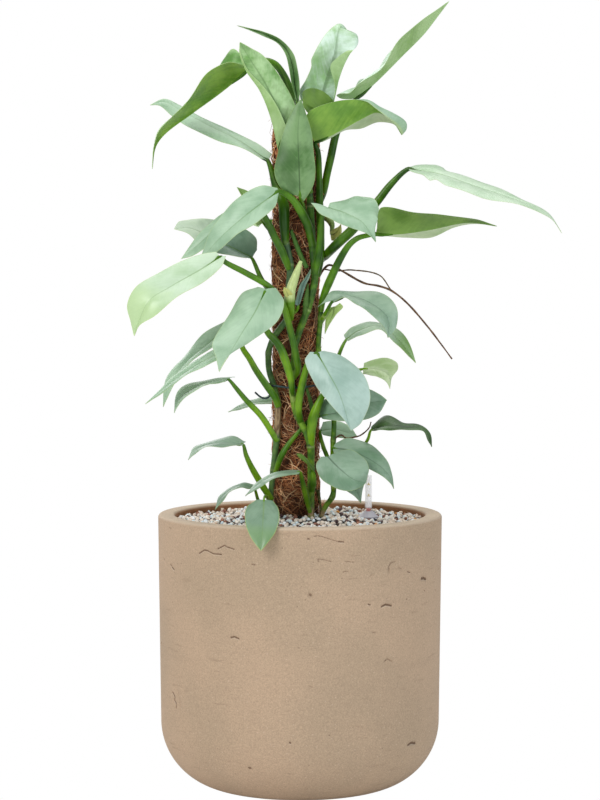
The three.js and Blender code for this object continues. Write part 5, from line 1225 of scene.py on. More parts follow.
LEAVES = {
    "leaf_01": dict(
        petiole=[(304, 154, -38), (298, 140, -38), (295, 125, -36), (295, 113, -27), (295, 102, -14),
            (289.5, 88, -6), (284.2, 76.3, -3), (276, 64.8, -2), (267, 60.7, -2), (258, 62, -2),
            (247, 70, 0)],
        girth=[3.2, 3.4, 3.6, 4.2, 4.6, 4.4, 3.4],
        rib=[(247, 70, 0), (220, 92, -4), (190, 114, -8), (165, 133, -12), (155, 147, -16),
            (152, 169, -20)],
        a=[(246, 66, -14), (228, 62, -30), (213, 71, -42), (196, 93, -44), (172, 116, -34),
            (156, 135, -26)],
        b=[(246, 63, 6), (236, 51, 14), (226, 60, 20), (205, 82, 22), (175, 112, 12), (158, 133, 0)],
        face=(-0.5, 0.3, 0.8),
    ),
    "leaf_02": dict(
        petiole=[(311, 193, -38), (303, 178, -42), (292, 162, -45), (286, 150, -46)],
        girth=[3.2, 3.2, 2.6],
        rib=[(286, 150, -46), (280, 115, -49), (266, 84, -50), (251, 60, -50), (240, 42, -48)],
        a=[(294, 142, -44), (297, 110, -42), (281, 78, -42), (263, 56, -44), (249, 47, -46)],
        b=[(287, 128, -54), (276, 104, -56), (263, 86, -56), (248, 70, -53), (241, 54, -50)],
        fold_b=[(278, 148, -50), (269, 113, -50), (260, 91, -51), (248, 73, -51), (240, 54, -49)],
    ),
    "leaf_03": dict(
        petiole=[(311, 231, -37), (307, 221, -40), (303, 206, -45), (300, 196, -60)],
        girth=[2.6, 2.6, 2.2],
        rib=[(300, 196, -60), (299, 165, -65), (298, 130, -64), (301, 99, -57)],
        a=[(292, 195, -58), (280, 187, -60), (274.3, 172, -61), (278, 153, -62), (283, 133, -60),
            (293, 109, -57)],
        b=[(304, 201, -58), (313, 186, -60), (315.4, 171, -61), (313.6, 152, -62), (311.5, 132, -61),
            (305.5, 112, -58)],
    ),
    "leaf_04": dict(
        petiole=[(305, 139, -41), (303, 124, -41), (298.5, 108, -36)],
        girth=[2.4, 2.4, 1.8],
        rib=[(298, 106, -35), (295, 86, -30), (292.5, 66, -27), (286, 49, -22), (271, 37, -15),
            (256, 31, -11), (237, 25.4, -8)],
        a=[(299.2, 102, -34), (299.7, 85, -36), (297.4, 68, -33), (293, 53, -28), (280, 39, -21),
            (262.8, 31.4, -15), (250.5, 28.4, -11)],
        b=[(296, 99, -36), (291.7, 84, -36), (289, 68.3, -33), (285.3, 54, -28), (277, 42.8, -22),
            (262.8, 36, -16), (249.4, 30.2, -12)],
    ),
    "leaf_05": dict(
        petiole=[(307, 134, -33), (315, 121, -28), (319, 108, -24)],
        girth=[2.8, 2.8, 2.4],
        rib=[(319, 108, -24), (325, 83, -25), (334, 55, -23), (340, 28, -8), (352, 38, 8)],
        a=[(301, 101, -22), (299.6, 91, -22), (306, 80, -24), (311.5, 67, -25), (311.5, 59, -24),
            (320.5, 41, -20), (331, 28.5, -8), (341, 24, 2)],
        b=[(333, 104, -24), (335, 86, -28), (330.5, 66, -34), (338, 57, -32), (346, 51.5, -26),
            (352.5, 48, -10)],
        fold_b=[(331, 105, -20), (336.5, 86, -23), (343.5, 67, -27), (349, 55, -25), (356, 43, -16),
            (357, 35, 0)],
    ),
    "leaf_06": dict(
        petiole=[(304, 216, 37), (316, 207, 27), (322, 197, 12), (325, 186, 0), (327.5, 172, -4),
            (331, 156, -6), (336, 133, -5), (344, 114, -3), (357, 98, 0)],
        girth=[3.8, 4, 4.4, 5, 5, 3.8],
        rib=[(357, 98, 0), (379, 78, 4), (401, 56, 8), (423, 34, 12), (438, 15, 14), (449, 1, 14)],
        a=[(352, 99, -6), (342, 99.5, -12), (337.5, 96.5, -18), (341, 94, -24), (350, 93, -27),
            (358, 84, -28), (379, 66, -26), (405, 36, -14), (434, 12, 4)],
        b=[(355, 88, 14), (360, 79, 26), (370, 76, 30), (392, 52, 30), (415, 30, 26), (437, 12, 20)],
        face=(-0.7, 0, 0.7),
    ),
    "leaf_07": dict(
        petiole=[(317, 276, -31), (320, 260, -24), (320.5, 230, -22), (319.5, 200, -22),
            (319, 170, -22), (318, 152, -26), (315, 143, -31)],
        girth=[4.2, 4.8, 5, 4.6, 3.8, 3.4],
        rib=[(315, 143, -31), (341, 129.5, -34), (362, 118, -36), (376, 112, -37), (390, 117, -34),
            (402, 135, -28)],
        a=[(304, 119, -47), (311, 110, -50), (333, 102, -54), (352, 99.5, -53), (366, 101.5, -52),
            (375, 108, -52), (386, 116.5, -49), (394, 123, -42), (400, 131, -34)],
        fold_a=[(309, 130, -41), (322, 121, -44), (338, 114, -47), (354, 107.5, -48), (368, 102, -48),
            (381, 107.5, -46), (394, 113.5, -42), (405.5, 121.5, -37), (406.5, 129, -32)],
        b=[(322, 142, -22), (345, 131, -16), (362, 129, -14), (380, 123, -18), (394, 124, -24)],
        face=(0, 0.8, 0.6),
    ),
    "leaf_08": dict(
        petiole=[(304, 152, 37), (316, 140, 30), (328, 130, 12), (331, 123, -12), (329, 118, -28)],
        girth=[2.6, 2.6, 2.2],
        rib=[(328, 117, -31), (319, 110, -36), (310, 106, -38.5), (302.5, 99, -38)],
        a=[(335, 103, -35), (327, 94, -36), (317, 88.5, -37), (308, 88.5, -38), (303, 92, -38.5)],
        b=[(325, 120, -33), (317, 117, -38), (308, 113, -41), (303.5, 106, -40)],
        face=(0.2, 0.8, 0.5),
    ),
    "leaf_09": dict(
        petiole=[(285, 244, -35), (284, 222, -41), (283, 203, -40), (276, 187, -30), (268, 161, -10)],
        girth=[4.6, 6.2, 6.4, 4.4, 2.8],
        rib=[(268, 161, -10), (240, 141, 10), (210, 126, 32), (180, 110, 50), (165, 102, 56),
            (150, 105, 56)],
        a=[(272, 154, -2), (255, 143, 14), (228, 129, 32), (200, 116, 48), (178, 105, 60), (164, 99, 60)],
        b=[(262, 159, -18), (240, 147, -4), (215, 139, 12), (190, 129, 28), (172, 116, 44),
            (160, 106, 52)],
    ),
    "leaf_10": dict(
        petiole=[(313, 246, -38), (311, 238, -41), (308, 226, -47), (301, 212, -55), (292, 199, -60),
            (279, 191, -64)],
        girth=[4.2, 5, 5.2, 4.4, 3.2],
        rib=[(279, 191, -64), (262, 203, -74), (240, 220, -80), (218, 240, -76), (199, 262, -66)],
        a=[(277, 188, -62), (262, 186, -64), (242, 194, -68), (225, 211, -68), (210, 234, -66)],
        b=[(278, 196, -68), (275, 206, -78), (255, 224, -90), (236, 236, -88), (214, 254, -76)],
    ),
    "leaf_11": dict(
        petiole=[(293, 378, -36), (298, 369.5, -44), (296.8, 360, -49), (294, 346, -52),
            (290.5, 332, -54), (287, 318, -57), (283.5, 307, -61), (279, 298, -62), (269, 286.5, -66),
            (246, 273, -78), (225, 262, -90), (220, 257, -92)],
        girth=[3.8, 4.2, 4, 3.8, 3.8, 3.8, 3.8, 3.6, 3],
        rib=[(220, 257, -92), (200, 270, -104), (170, 287, -118), (148, 302, -126), (134, 336, -118)],
        a=[(216, 252, -88), (195, 255, -92), (165, 269, -102), (138, 286, -110), (128, 305, -114),
            (131, 322, -116)],
        b=[(226, 256, -94), (221, 267, -104), (200, 285, -118), (175, 299, -130), (155, 316, -132),
            (140, 325, -126)],
    ),
    "leaf_12": dict(
        petiole=[(288, 312, -33), (281, 303, -30), (272, 293, -26), (262, 280, -20), (252, 258, -14)],
        girth=[2.6, 3.4, 3.4, 2.6],
        rib=[(252, 258, -14), (235, 249, -4), (212, 238, 4), (190, 228, 10), (174, 229, 12)],
        a=[(257, 250, -10), (256, 238, 0), (244, 229, 10), (210, 219, 18), (180, 221, 16)],
        b=[(246, 258, -20), (230, 256, -18), (205, 248, -8), (188, 234, 4)],
    ),
    "leaf_13": dict(
        petiole=[(302, 236, 37), (285, 224, 52), (272, 221, 66), (262, 222, 80)],
        girth=[3, 3, 2.6],
        rib=[(262, 222, 80), (250, 216, 110), (240, 216, 140), (232, 226, 160)],
        a=[(262, 214, 80), (250, 206, 108), (238, 206, 140), (230, 218, 158)],
        b=[(258, 227, 80), (252, 225, 110), (243, 226, 140), (235, 231, 158)],
        face=(0, -0.2, 1),
    ),
    "leaf_14": dict(
        petiole=[(300, 250, 36), (280, 240, 30), (269, 230, 12), (263, 223, -6)],
        girth=[2, 2.2, 1.8],
        rib=[(263, 223, -6), (253, 206, -14), (237, 187, -18)],
        a=[(267, 217, -4), (259, 202, -8), (248, 191.5, -14)],
        b=[(257, 226, -8), (248, 211, -16), (241, 195, -19)],
    ),
    "leaf_15": dict(
        petiole=[(293.5, 396, -36), (292.3, 389, -48.5), (291, 380, -52.5), (288, 369, -52),
            (285, 360, -52), (281.5, 350, -52), (275.5, 341, -53), (268.5, 333.5, -56), (263, 322, -62),
            (262.5, 306, -68), (266, 290, -73)],
        girth=[3.2, 3.6, 4.4, 5, 4.8, 4, 3.4, 3.2, 2.8],
        rib=[(266, 289, -74), (255, 312, -86), (240, 336, -94), (219, 372, -92)],
        a=[(258, 287, -70), (242, 293, -72), (229, 315, -78), (213, 343, -86), (216, 357, -90)],
        b=[(276, 288, -70), (284, 302, -74), (277, 322, -82), (250, 342, -92), (228, 356, -93)],
    ),
    "leaf_16": dict(
        petiole=[(278, 406, -32), (274.5, 397, -37), (267, 386, -40), (256, 370, -41),
            (249.5, 358.5, -40), (242.5, 347.5, -37), (236, 324, -31)],
        girth=[4, 4.4, 4.2, 3.8, 3.4, 2.6],
        rib=[(236, 322, -30), (210, 342, -38), (185, 364, -44), (170, 382, -46), (163, 407, -42)],
        a=[(234, 316, -22), (205, 334, -24), (184, 356, -28), (166, 378, -36)],
        b=[(236, 328, -40), (212, 347, -52), (190, 362, -58), (174, 386, -52)],
        face=(-0.4, 0.5, 0.7),
    ),
    "leaf_17": dict(
        petiole=[(273, 338, -24), (262, 329, -46), (247, 335, -58), (233, 344, -63), (222, 352, -64)],
        girth=[2.8, 3, 2.4],
        rib=[(222, 352, -64), (200, 363, -76), (175, 380, -84), (160, 392, -86), (145, 404, -84)],
        a=[(220, 347, -58), (197, 359, -64), (178, 372, -70), (162, 388, -78)],
        b=[(222, 358, -72), (202, 367, -88), (182, 379, -96), (164, 392, -92)],
        face=(-0.3, -0.3, 0.9),
    ),
    "leaf_18": dict(
        petiole=[(277, 441, -27), (262, 417, -36), (246, 400, -44), (236, 388, -48), (228, 379, -52)],
        girth=[3.6, 3.8, 3.6, 2.8],
        rib=[(228, 379, -52), (206, 384, -62), (188, 392, -68), (179, 400, -68), (174, 413, -66)],
        a=[(235, 377, -44), (214, 378, -42), (194, 382, -46), (178, 392, -56)],
        b=[(226, 381, -60), (206, 386, -80), (190, 395, -84), (180, 403, -76)],
        face=(-0.3, -0.2, 0.9),
    ),
    "leaf_19": dict(
        petiole=[(299, 417, 36), (282, 409, 32), (275, 403, 22), (272, 401, 16)],
        girth=[2, 2, 1.8],
        rib=[(272, 401, 16), (255, 403, 26), (240, 407, 34), (228, 412, 36)],
        a=[(271, 394, 26), (256, 399, 38), (240, 405, 42)],
        b=[(273, 404, 8), (256, 405, 14), (241, 409, 26)],
        face=(0, -0.3, 0.9),
    ),
    "leaf_20": dict(
        petiole=[(271, 499, -22), (262, 485, -34), (252, 468, -46), (246, 455, -52), (243, 444, -56)],
        girth=[3.8, 4.2, 3.8, 2.8],
        rib=[(243, 444, -56), (222, 443, -66), (205, 446, -72), (194, 451, -72), (188, 460, -70)],
        a=[(246, 442, -46), (230, 437, -40), (210, 441, -48), (195, 447, -60)],
        b=[(243, 445, -64), (224, 446, -86), (207, 448, -88), (195, 454, -80)],
        face=(-0.2, -0.1, 1),
    ),
    "leaf_21": dict(
        petiole=[(268, 511, -22), (259, 502, -44), (254, 487, -70)],
        girth=[2, 2.2, 1.8],
        rib=[(254, 487, -70), (240, 486, -80), (228, 492, -88), (220, 500, -92), (215, 510, -90)],
        a=[(255, 485, -62), (241, 483, -62), (228, 489, -72), (219, 498, -82)],
        b=[(253, 489, -76), (240, 488, -96), (229, 494, -102), (221, 503, -98)],
        face=(-0.3, 0, 1),
    ),
    "leaf_22": dict(
        petiole=[(310, 512, -38), (307, 500, -46), (303, 484, -57), (300, 472, -66)],
        girth=[2.6, 3.6, 3.4, 2.4],
        rib=[(300, 472, -66), (282, 473, -80), (265, 480, -92), (254, 488, -98), (245, 496, -98)],
        a=[(298, 470, -58), (284, 470, -60), (268, 475, -72), (256, 484, -86)],
        b=[(299, 474, -74), (282, 477, -96), (266, 484, -108), (254, 491, -106)],
        face=(-0.3, -0.2, 1),
    ),
    "leaf_23": dict(
        petiole=[(270, 507, -24), (268, 499, -60), (266, 496, -100), (264, 498, -135), (264, 500, -148)],
        girth=[2.2, 2.2, 1.8],
        rib=[(264, 500, -148), (263, 520, -168), (262, 537, -183), (261, 551, -190)],
        a=[(256, 500, -146), (247, 507, -152), (245, 520, -168), (249, 534, -182), (256, 545, -188)],
        b=[(273, 501, -146), (278, 509, -152), (279, 520, -168), (274, 534, -182), (266, 545, -188)],
    ),
    "leaf_24": dict(
        petiole=[(300, 421, -42), (298.5, 412, -50), (299, 400, -55), (301.5, 388.5, -58),
            (304.8, 374, -61), (309, 362, -64), (317, 353, -67)],
        girth=[4, 4.4, 4.4, 4, 3.2],
        rib=[(317, 353, -68), (328, 372, -84), (340, 395, -92), (351, 431, -86)],
        a=[(310, 352, -64), (305, 361, -68), (314, 382, -80), (330, 404, -92), (344, 420, -92)],
        b=[(324, 351, -64), (345, 357, -68), (364, 376, -76), (370, 398, -84), (362, 422, -88)],
    ),
    "leaf_25": dict(
        petiole=[(275, 473, -24), (277.5, 466, -31), (281, 457, -35), (288, 445, -35),
            (295.5, 435.5, -34), (302, 428, -33), (309, 421, -31), (315, 418, -31.5), (320, 416, -38)],
        girth=[3, 3.4, 3.6, 3.2, 2.6, 2.6, 2.6, 2.2],
        rib=[(320, 416, -42), (340, 412, -54), (362, 404, -60), (387, 400, -56)],
        a=[(320, 410, -39), (325, 399, -39), (345, 392, -48), (366, 389, -54), (379, 394, -56)],
        b=[(323, 419, -44), (340, 421, -62), (360, 421, -70), (378, 414, -66)],
    ),
    "leaf_26": dict(
        petiole=[(311.5, 445, -41), (311.5, 432, -48), (313.5, 418, -50), (318.5, 404, -50),
            (325, 392, -47), (340, 378, -43), (354, 371, -40), (363, 369, -40)],
        girth=[3.6, 5.2, 5.8, 5, 3.6, 3, 2.8, 2.2],
        rib=[(363, 369, -40), (378, 371, -50), (388, 376, -56), (390, 389, -56)],
        a=[(364, 363, -34), (380, 359, -32), (396, 361, -40), (398, 369, -50), (392, 378, -55)],
        b=[(363, 374, -46), (372, 375, -56), (381, 378, -60), (387, 383, -58)],
        face=(0, 0.6, 0.7),
    ),
    "leaf_27": dict(
        petiole=[(329, 388, -26), (335, 368, -32), (340, 352, -34), (346, 340, -34)],
        girth=[2.6, 2.8, 2.2],
        rib=[(346, 340, -34), (358, 331, -38), (380, 326, -40), (400, 341, -40), (416, 363, -36)],
        a=[(344, 335, -28), (352, 327, -26), (372, 323, -24), (396, 328, -30), (408, 340, -34)],
        b=[(348, 341, -42), (360, 336, -50), (380, 329, -54), (396, 344, -50), (408, 356, -42)],
        face=(0, -0.2, 1),
    ),
    "leaf_28": dict(
        petiole=[(322, 319, -24), (327, 311, -34), (332, 302, -43)],
        girth=[2.4, 2.4, 1.8],
        rib=[(332, 301, -43), (350, 296, -54), (372, 304, -66), (388, 318, -72), (388, 338, -72)],
        a=[(317.5, 307, -35), (324, 302, -37), (333, 291.5, -38), (356, 291, -44), (380, 292, -54),
            (396, 308, -64), (396, 328, -70)],
        b=[(334, 302, -49), (345, 297, -64), (358, 306, -76), (374, 317, -82), (384, 328, -78)],
        face=(0.3, -0.4, 0.9),
    ),
    "leaf_29": dict(
        petiole=[(322, 322, -20), (328, 313, -10), (334, 307, -6)],
        girth=[1.8, 2, 1.6],
        rib=[(334, 307, -6), (333, 314, -4), (329, 323, -4), (325, 334, -6)],
        a=[(340, 303, -8), (343, 307, -2), (337, 314, 2), (330, 323, 0)],
        b=[(328, 307, -10), (326, 315, -8), (325, 324, -8)],
    ),
    "leaf_30": dict(
        petiole=[(304, 270, 37), (317, 263, 25), (323, 258, 9), (325.5, 256, -8), (330, 251, -26),
            (338, 243, -37), (352, 230, -43), (376, 203, -44), (392, 183, -47), (408, 169, -50)],
        girth=[4, 4.4, 5, 6, 6.2, 5.4, 4.6, 3],
        rib=[(408, 169, -50), (440, 174, -70), (475, 186, -84), (520, 201, -92), (548, 213, -94),
            (562, 233, -92)],
        a=[(410, 167, -44), (418, 164.6, -38), (435, 162.5, -33), (443, 165.8, -36), (447, 170.5, -38),
            (460, 175, -46), (475, 180, -54), (520, 199, -80), (548, 213, -90)],
        b=[(410, 171, -58), (423, 176.3, -82), (430, 181.7, -93), (436, 180.6, -98), (446, 187, -104),
            (478, 197, -114), (522, 205, -106), (550, 218, -98)],
        face=(0, -0.2, 1),
    ),
    "leaf_31": dict(
        petiole=[(321, 311, -23), (322.5, 301, -27), (326, 290, -32), (331.5, 277, -38),
            (337.5, 264, -43), (343.5, 253, -47), (350, 244, -51), (358, 238, -54), (367, 235.5, -56),
            (376, 234, -56)],
        girth=[3.4, 4.2, 5, 4.8, 4.4, 3.8, 3.2, 2.8],
        rib=[(376, 234, -56), (402, 233, -62), (430, 229, -64), (468, 222, -60), (497, 226, -56)],
        a=[(377, 229, -68), (379.5, 212, -86), (390, 210, -90), (411, 211.5, -89), (440, 213.8, -82),
            (475, 219.5, -68)],
        b=[(380, 236, -46), (405, 237, -34), (430, 236, -32), (455, 229, -40), (475, 224, -50)],
        face=(0, 0.7, 0.7),
    ),
    "leaf_32": dict(
        petiole=[(315, 273, -38), (317.5, 262, -44), (319.5, 250, -48), (320.5, 238, -51),
            (321, 226, -54), (323, 215, -58), (328, 209, -62)],
        girth=[4.2, 4.4, 4.2, 4, 3.6, 3, 2.4],
        rib=[(328, 208, -62), (345, 213, -74), (363, 223, -82), (376, 242, -80)],
        a=[(330, 203, -58), (346, 200, -60), (358, 195, -62), (374, 199, -68), (379, 212, -74),
            (375, 227, -78)],
        b=[(311, 203, -66), (322, 214, -76), (344, 226, -88), (366, 233, -88)],
    ),
    "leaf_33": dict(
        petiole=[(307, 228, 37), (316, 220, 33), (325, 217, 22), (332, 225, 11), (331, 234, 5.5)],
        girth=[2.6, 3.8, 4.8, 3.6],
        rib=[(330.5, 235, 5), (334.5, 234, 3), (338.5, 229.5, 0), (341, 224, -2)],
        a=[(330, 232, 5), (334, 229, 3), (338, 227, 1)],
        b=[(331.5, 240.5, 4), (336, 240.5, 1), (341.5, 234, -2)],
    ),
    "leaf_34": dict(
        shoot=True,
        petiole=[(291, 319, -38), (290.5, 311, -46), (289.5, 303, -51), (290.5, 291, -54),
            (295.5, 276, -53), (301, 261, -52)],
        girth=[3.4, 5.4, 7, 6.2, 5.4, 4.2, 2.2],
        rib=[(290, 300, -56), (288, 295, -60), (286, 291, -62), (284, 286.8, -62)],
        a=[(294, 297, -56), (292, 293, -60), (289, 290, -62)],
        b=[(288, 299, -57), (284.5, 295, -60), (283.2, 291, -62)],
    ),
    "leaf_35": dict(
        petiole=[(333, 480, -29), (330, 470, -50), (328, 457, -73)],
        girth=[2.4, 2.4, 2],
        rib=[(328, 457, -74), (340, 469, -90), (353, 479, -97), (366, 483, -90)],
        a=[(333, 454, -72), (350, 450, -72), (364, 457, -77), (368, 468, -84), (367, 478, -88)],
        b=[(321, 457, -73), (316, 466, -80), (322, 479, -92), (336, 489, -104), (350, 491, -106),
            (361, 487, -98)],
    ),
    "leaf_36": dict(
        petiole=[(333, 459, -27), (333, 448, -39)],
        girth=[2.2, 2],
        rib=[(333, 448, -39), (352, 451, -52), (374, 462, -60), (388, 474, -62), (394, 489, -60)],
        a=[(336, 443, -36), (350, 438, -38), (372, 445, -42), (386, 460, -52), (392, 475, -58)],
        b=[(334, 453, -44), (348, 462, -58), (368, 469, -64), (382, 476, -66), (391, 484, -62)],
    ),
    "leaf_37": dict(
        petiole=[(333, 490, -28), (336, 484, -40), (339, 478, -50)],
        girth=[2, 2, 1.6],
        rib=[(339, 478, -50), (349, 486, -58), (357, 492, -60), (361, 503, -60)],
        a=[(342, 472, -44), (356, 474, -48), (364, 480, -54), (362, 492, -58)],
        b=[(337, 483, -54), (345, 490, -64), (354, 496, -64)],
    ),
    "leaf_38": dict(
        petiole=[(334, 463, -22), (347, 456, -18), (362, 447, -22), (368, 439, -36), (371, 430, -50)],
        girth=[2.2, 2.2, 2.2, 1.8],
        rib=[(371, 430, -50), (386, 426, -62), (404, 426, -70), (424, 429, -74), (432, 447, -72)],
        a=[(372, 426, -42), (385, 416, -38), (402, 423, -50), (418, 424, -58), (430, 432, -66)],
        b=[(374, 431, -58), (388, 430, -80), (404, 429, -88), (422, 431, -86), (427, 440, -80)],
        face=(0.1, 0, 1),
    ),
    "leaf_39": dict(
        petiole=[(331, 468, -22), (327, 456, -20), (322.5, 444, -17), (320, 431, -15)],
        girth=[2.6, 2.8, 2.8, 2.2],
        rib=[(320, 431, -15), (334, 429, -8), (346, 432, -4), (357, 436, -2)],
        a=[(323, 422, -10), (338, 421, 0), (350, 427, 2)],
        b=[(323, 435, -18), (334, 437, -14), (347, 439, -8)],
    ),
    "leaf_40": dict(
        petiole=[(312, 491, -38), (313, 481, -43), (313, 471, -44)],
        girth=[3.6, 4.6, 3.2],
        rib=[(313, 472, -44), (308, 464.5, -49), (303, 458, -50), (296.3, 453.5, -50)],
        a=[(315.5, 469, -43), (310.8, 463.3, -46), (306, 457.7, -48), (301.5, 454, -49)],
        b=[(310, 470.8, -42), (308, 465.2, -46), (303.3, 461, -49), (298.7, 457.3, -50)],
        face=(-0.6, 0, -0.8),
    ),
    "leaf_41": dict(
        petiole=[(289, 269, -36), (282, 252, -43), (276, 240, -46), (263, 214, -56), (253, 205, -58)],
        girth=[4, 4.8, 4.6, 3.2],
        rib=[(253, 205, -57), (225, 222, -50), (200, 243, -44), (181, 259, -40)],
        a=[(248, 200, -50), (228, 210, -42), (212, 222, -38), (196, 238, -38)],
        b=[(250, 212, -64), (230, 230, -62), (208, 246, -54), (192, 256, -46)],
    ),
    "leaf_42": dict(
        petiole=[(291.5, 314, -35), (296, 311, -38.5), (298, 307, -43)],
        girth=[2, 2.2, 1.8],
        rib=[(298, 306, -45), (302.8, 286, -45), (307.7, 277, -45), (311, 269, -46)],
        a=[(294.5, 304, -47), (299.6, 286, -49), (305.6, 277, -48)],
        b=[(300, 303, -44), (306, 285, -45), (310, 276, -46)],
    ),
    "leaf_43": dict(
        petiole=[(303, 208, 37), (299, 188, 60), (297, 165, 80)],
        girth=[3.4, 3.4, 2.8],
        rib=[(297, 165, 80), (296, 160, 120), (296, 172, 160), (296, 196, 186)],
        a=[(290, 168, 78), (277, 165, 100), (276, 171, 140), (286, 187, 174)],
        b=[(304, 168, 78), (315, 165, 100), (316, 171, 140), (306, 187, 174)],
        face=(0, -0.2, 1),
    ),
    "leaf_44": dict(
        petiole=[(303, 348, 37), (302, 333, 60), (300, 318, 84)],
        girth=[3.4, 3.4, 2.8],
        rib=[(300, 318, 84), (298, 318, 120), (297, 332, 160), (297, 360, 190)],
        a=[(293, 320, 82), (281, 322, 110), (280, 336, 150), (288, 352, 180)],
        b=[(307, 320, 82), (316, 322, 110), (315, 336, 150), (306, 352, 180)],
        face=(0, -0.2, 1),
    ),
    "leaf_45": dict(
        petiole=[(301, 330, 38), (289, 318, 54), (277, 308, 72)],
        girth=[3, 3, 2.6],
        rib=[(277, 308, 72), (265, 306, 105), (255, 315, 140), (248, 332, 165)],
        a=[(276, 301, 72), (262, 296, 100), (250, 303, 140), (243, 320, 163)],
        b=[(281, 314, 72), (277, 317, 105), (268, 327, 140), (256, 336, 163)],
        face=(0, -0.2, 1),
    ),
    "leaf_46": dict(
        petiole=[(305, 402, 37), (318, 389, 55), (328, 376, 75)],
        girth=[3, 3, 2.6],
        rib=[(328, 376, 75), (338, 374, 110), (347, 384, 145), (352, 402, 165)],
        a=[(326, 369, 74), (338, 364, 105), (352, 372, 145), (357, 392, 163)],
        b=[(330, 384, 74), (336, 388, 110), (342, 396, 145), (347, 406, 160)],
        face=(0, -0.2, 1),
    ),
}

# How the blades look on their silver side, then the leaves of each kind. Each kind is partly the leaves' own
# colour and partly painted light and shade, lighter or darker for how much light each leaf gets.
TOPS = {
    "silver": (dict(pale=(184, 210, 198), deep=(158, 188, 174), margin=(190, 206, 150), rib=(112, 150, 92),
                    patches=0.1), [24]),
    "two_toned": (dict(pale=(186, 208, 184), deep=(160, 186, 160), margin=(190, 206, 140),
                       rib=(130, 160, 110), tip=(120, 160, 78), patches=0.1), [27]),
    "draped": (dict(pale=(124, 154, 126), deep=(88, 122, 92), margin=(184, 204, 96), rib=(112, 144, 84),
                    tip=(122, 156, 108), patches=0.2), [23]),
    "mint": (dict(pale=(176, 206, 174), deep=(150, 184, 150), margin=(186, 206, 140), rib=(124, 160, 108),
                  patches=0.1), [7, 9, 10, 15, 16, 17, 18, 19, 32, 39, 41]),
    "milky": (dict(pale=(204, 224, 196), deep=(180, 208, 172), margin=(206, 220, 170), rib=(140, 172, 118),
                   patches=0.06), [30]),
    "shaded": (dict(pale=(132, 162, 138), deep=(96, 130, 106), margin=(190, 208, 150), rib=(112, 144, 84),
                    tip=(206, 224, 198), patches=0.2), [12]),
    "tinted": (dict(pale=(204, 226, 196), deep=(182, 210, 170), margin=(206, 220, 150), rib=(140, 172, 118),
                    tip=(190, 218, 160), patches=0.06), [11]),
    # The glossy and fresh kinds' pale clouds are partly a painted reflection on the wax of the young blades.
    "glossy": (dict(pale=(216, 238, 220), deep=(142, 186, 122), margin=(190, 210, 140), patches=0.55),
               [5, 6]),
    "fresh": (dict(pale=(182, 216, 158), deep=(104, 156, 72), margin=(190, 210, 140), patches=0.55), [1, 2]),
    "pale_sage": (dict(pale=(166, 192, 166), deep=(138, 168, 142), margin=(166, 186, 120), patches=0.15),
                  [20, 22, 28]),
    "sage": (dict(pale=(146, 174, 148), deep=(114, 148, 118), margin=(160, 184, 106), patches=0.25),
             [13, 21, 25, 35, 36, 37, 43, 44, 45, 46]),
    "slate": (dict(pale=(120, 150, 136), deep=(84, 116, 100), margin=(130, 160, 120), patches=0.2), [42]),
    "deep": (dict(pale=(124, 160, 104), deep=(74, 116, 56), margin=(140, 172, 92), patches=0.5),
             [3, 4, 8, 31, 40]),
    "dark": (dict(pale=(76, 110, 58), deep=(44, 76, 28), margin=(116, 148, 84), patches=0.4), [38]),
    "grass": (dict(pale=(164, 198, 122), deep=(128, 168, 88), margin=(176, 200, 120), patches=0.2), [14]),
    "straw": (dict(pale=(224, 232, 196), deep=(202, 216, 164), margin=(216, 222, 160), patches=0.1), [26]),
    "lime": (dict(pale=(196, 226, 130), deep=(154, 196, 84), margin=(196, 216, 130), patches=0.1), [29]),
    "yellow": (dict(pale=(216, 214, 136), deep=(184, 190, 96), margin=(206, 206, 130), patches=0.1),
               [33, 34]),
}
UNDERS = {
    "green_under": (dict(pale=(136, 178, 66), deep=(92, 142, 36)), [1, 3, 4, 7, 14, 16]),
    "dark_under": (dict(pale=(112, 148, 58), deep=(80, 118, 32)), [8, 31, 38, 40]),
    "light_under": (dict(pale=(172, 204, 140), deep=(136, 176, 96)), [2, 5, 6, 12, 13, 19, 23, 28, 36, 39]),
    "pale_under": (dict(pale=(198, 214, 172), deep=(162, 188, 130)), [9, 10, 11, 15, 24, 26, 30, 32, 33, 34]),
    "lime_under": (dict(pale=(192, 224, 124), deep=(150, 192, 82)), [29]),
    "olive_under": (dict(pale=(164, 178, 116), deep=(126, 146, 82)), [17, 18, 20, 21]),
    "sage_under": (dict(pale=(146, 170, 118), deep=(106, 138, 82)),
                   [22, 25, 27, 35, 37, 41, 42, 43, 44, 45, 46]),
}
# On these blades the b half's under side takes a paler under side material, a painted sheen where it is seen
# at a grazing angle.
SHEEN_PAINTED_HALVES = {"leaf_07": "leaf_09", "leaf_31": "leaf_09"}


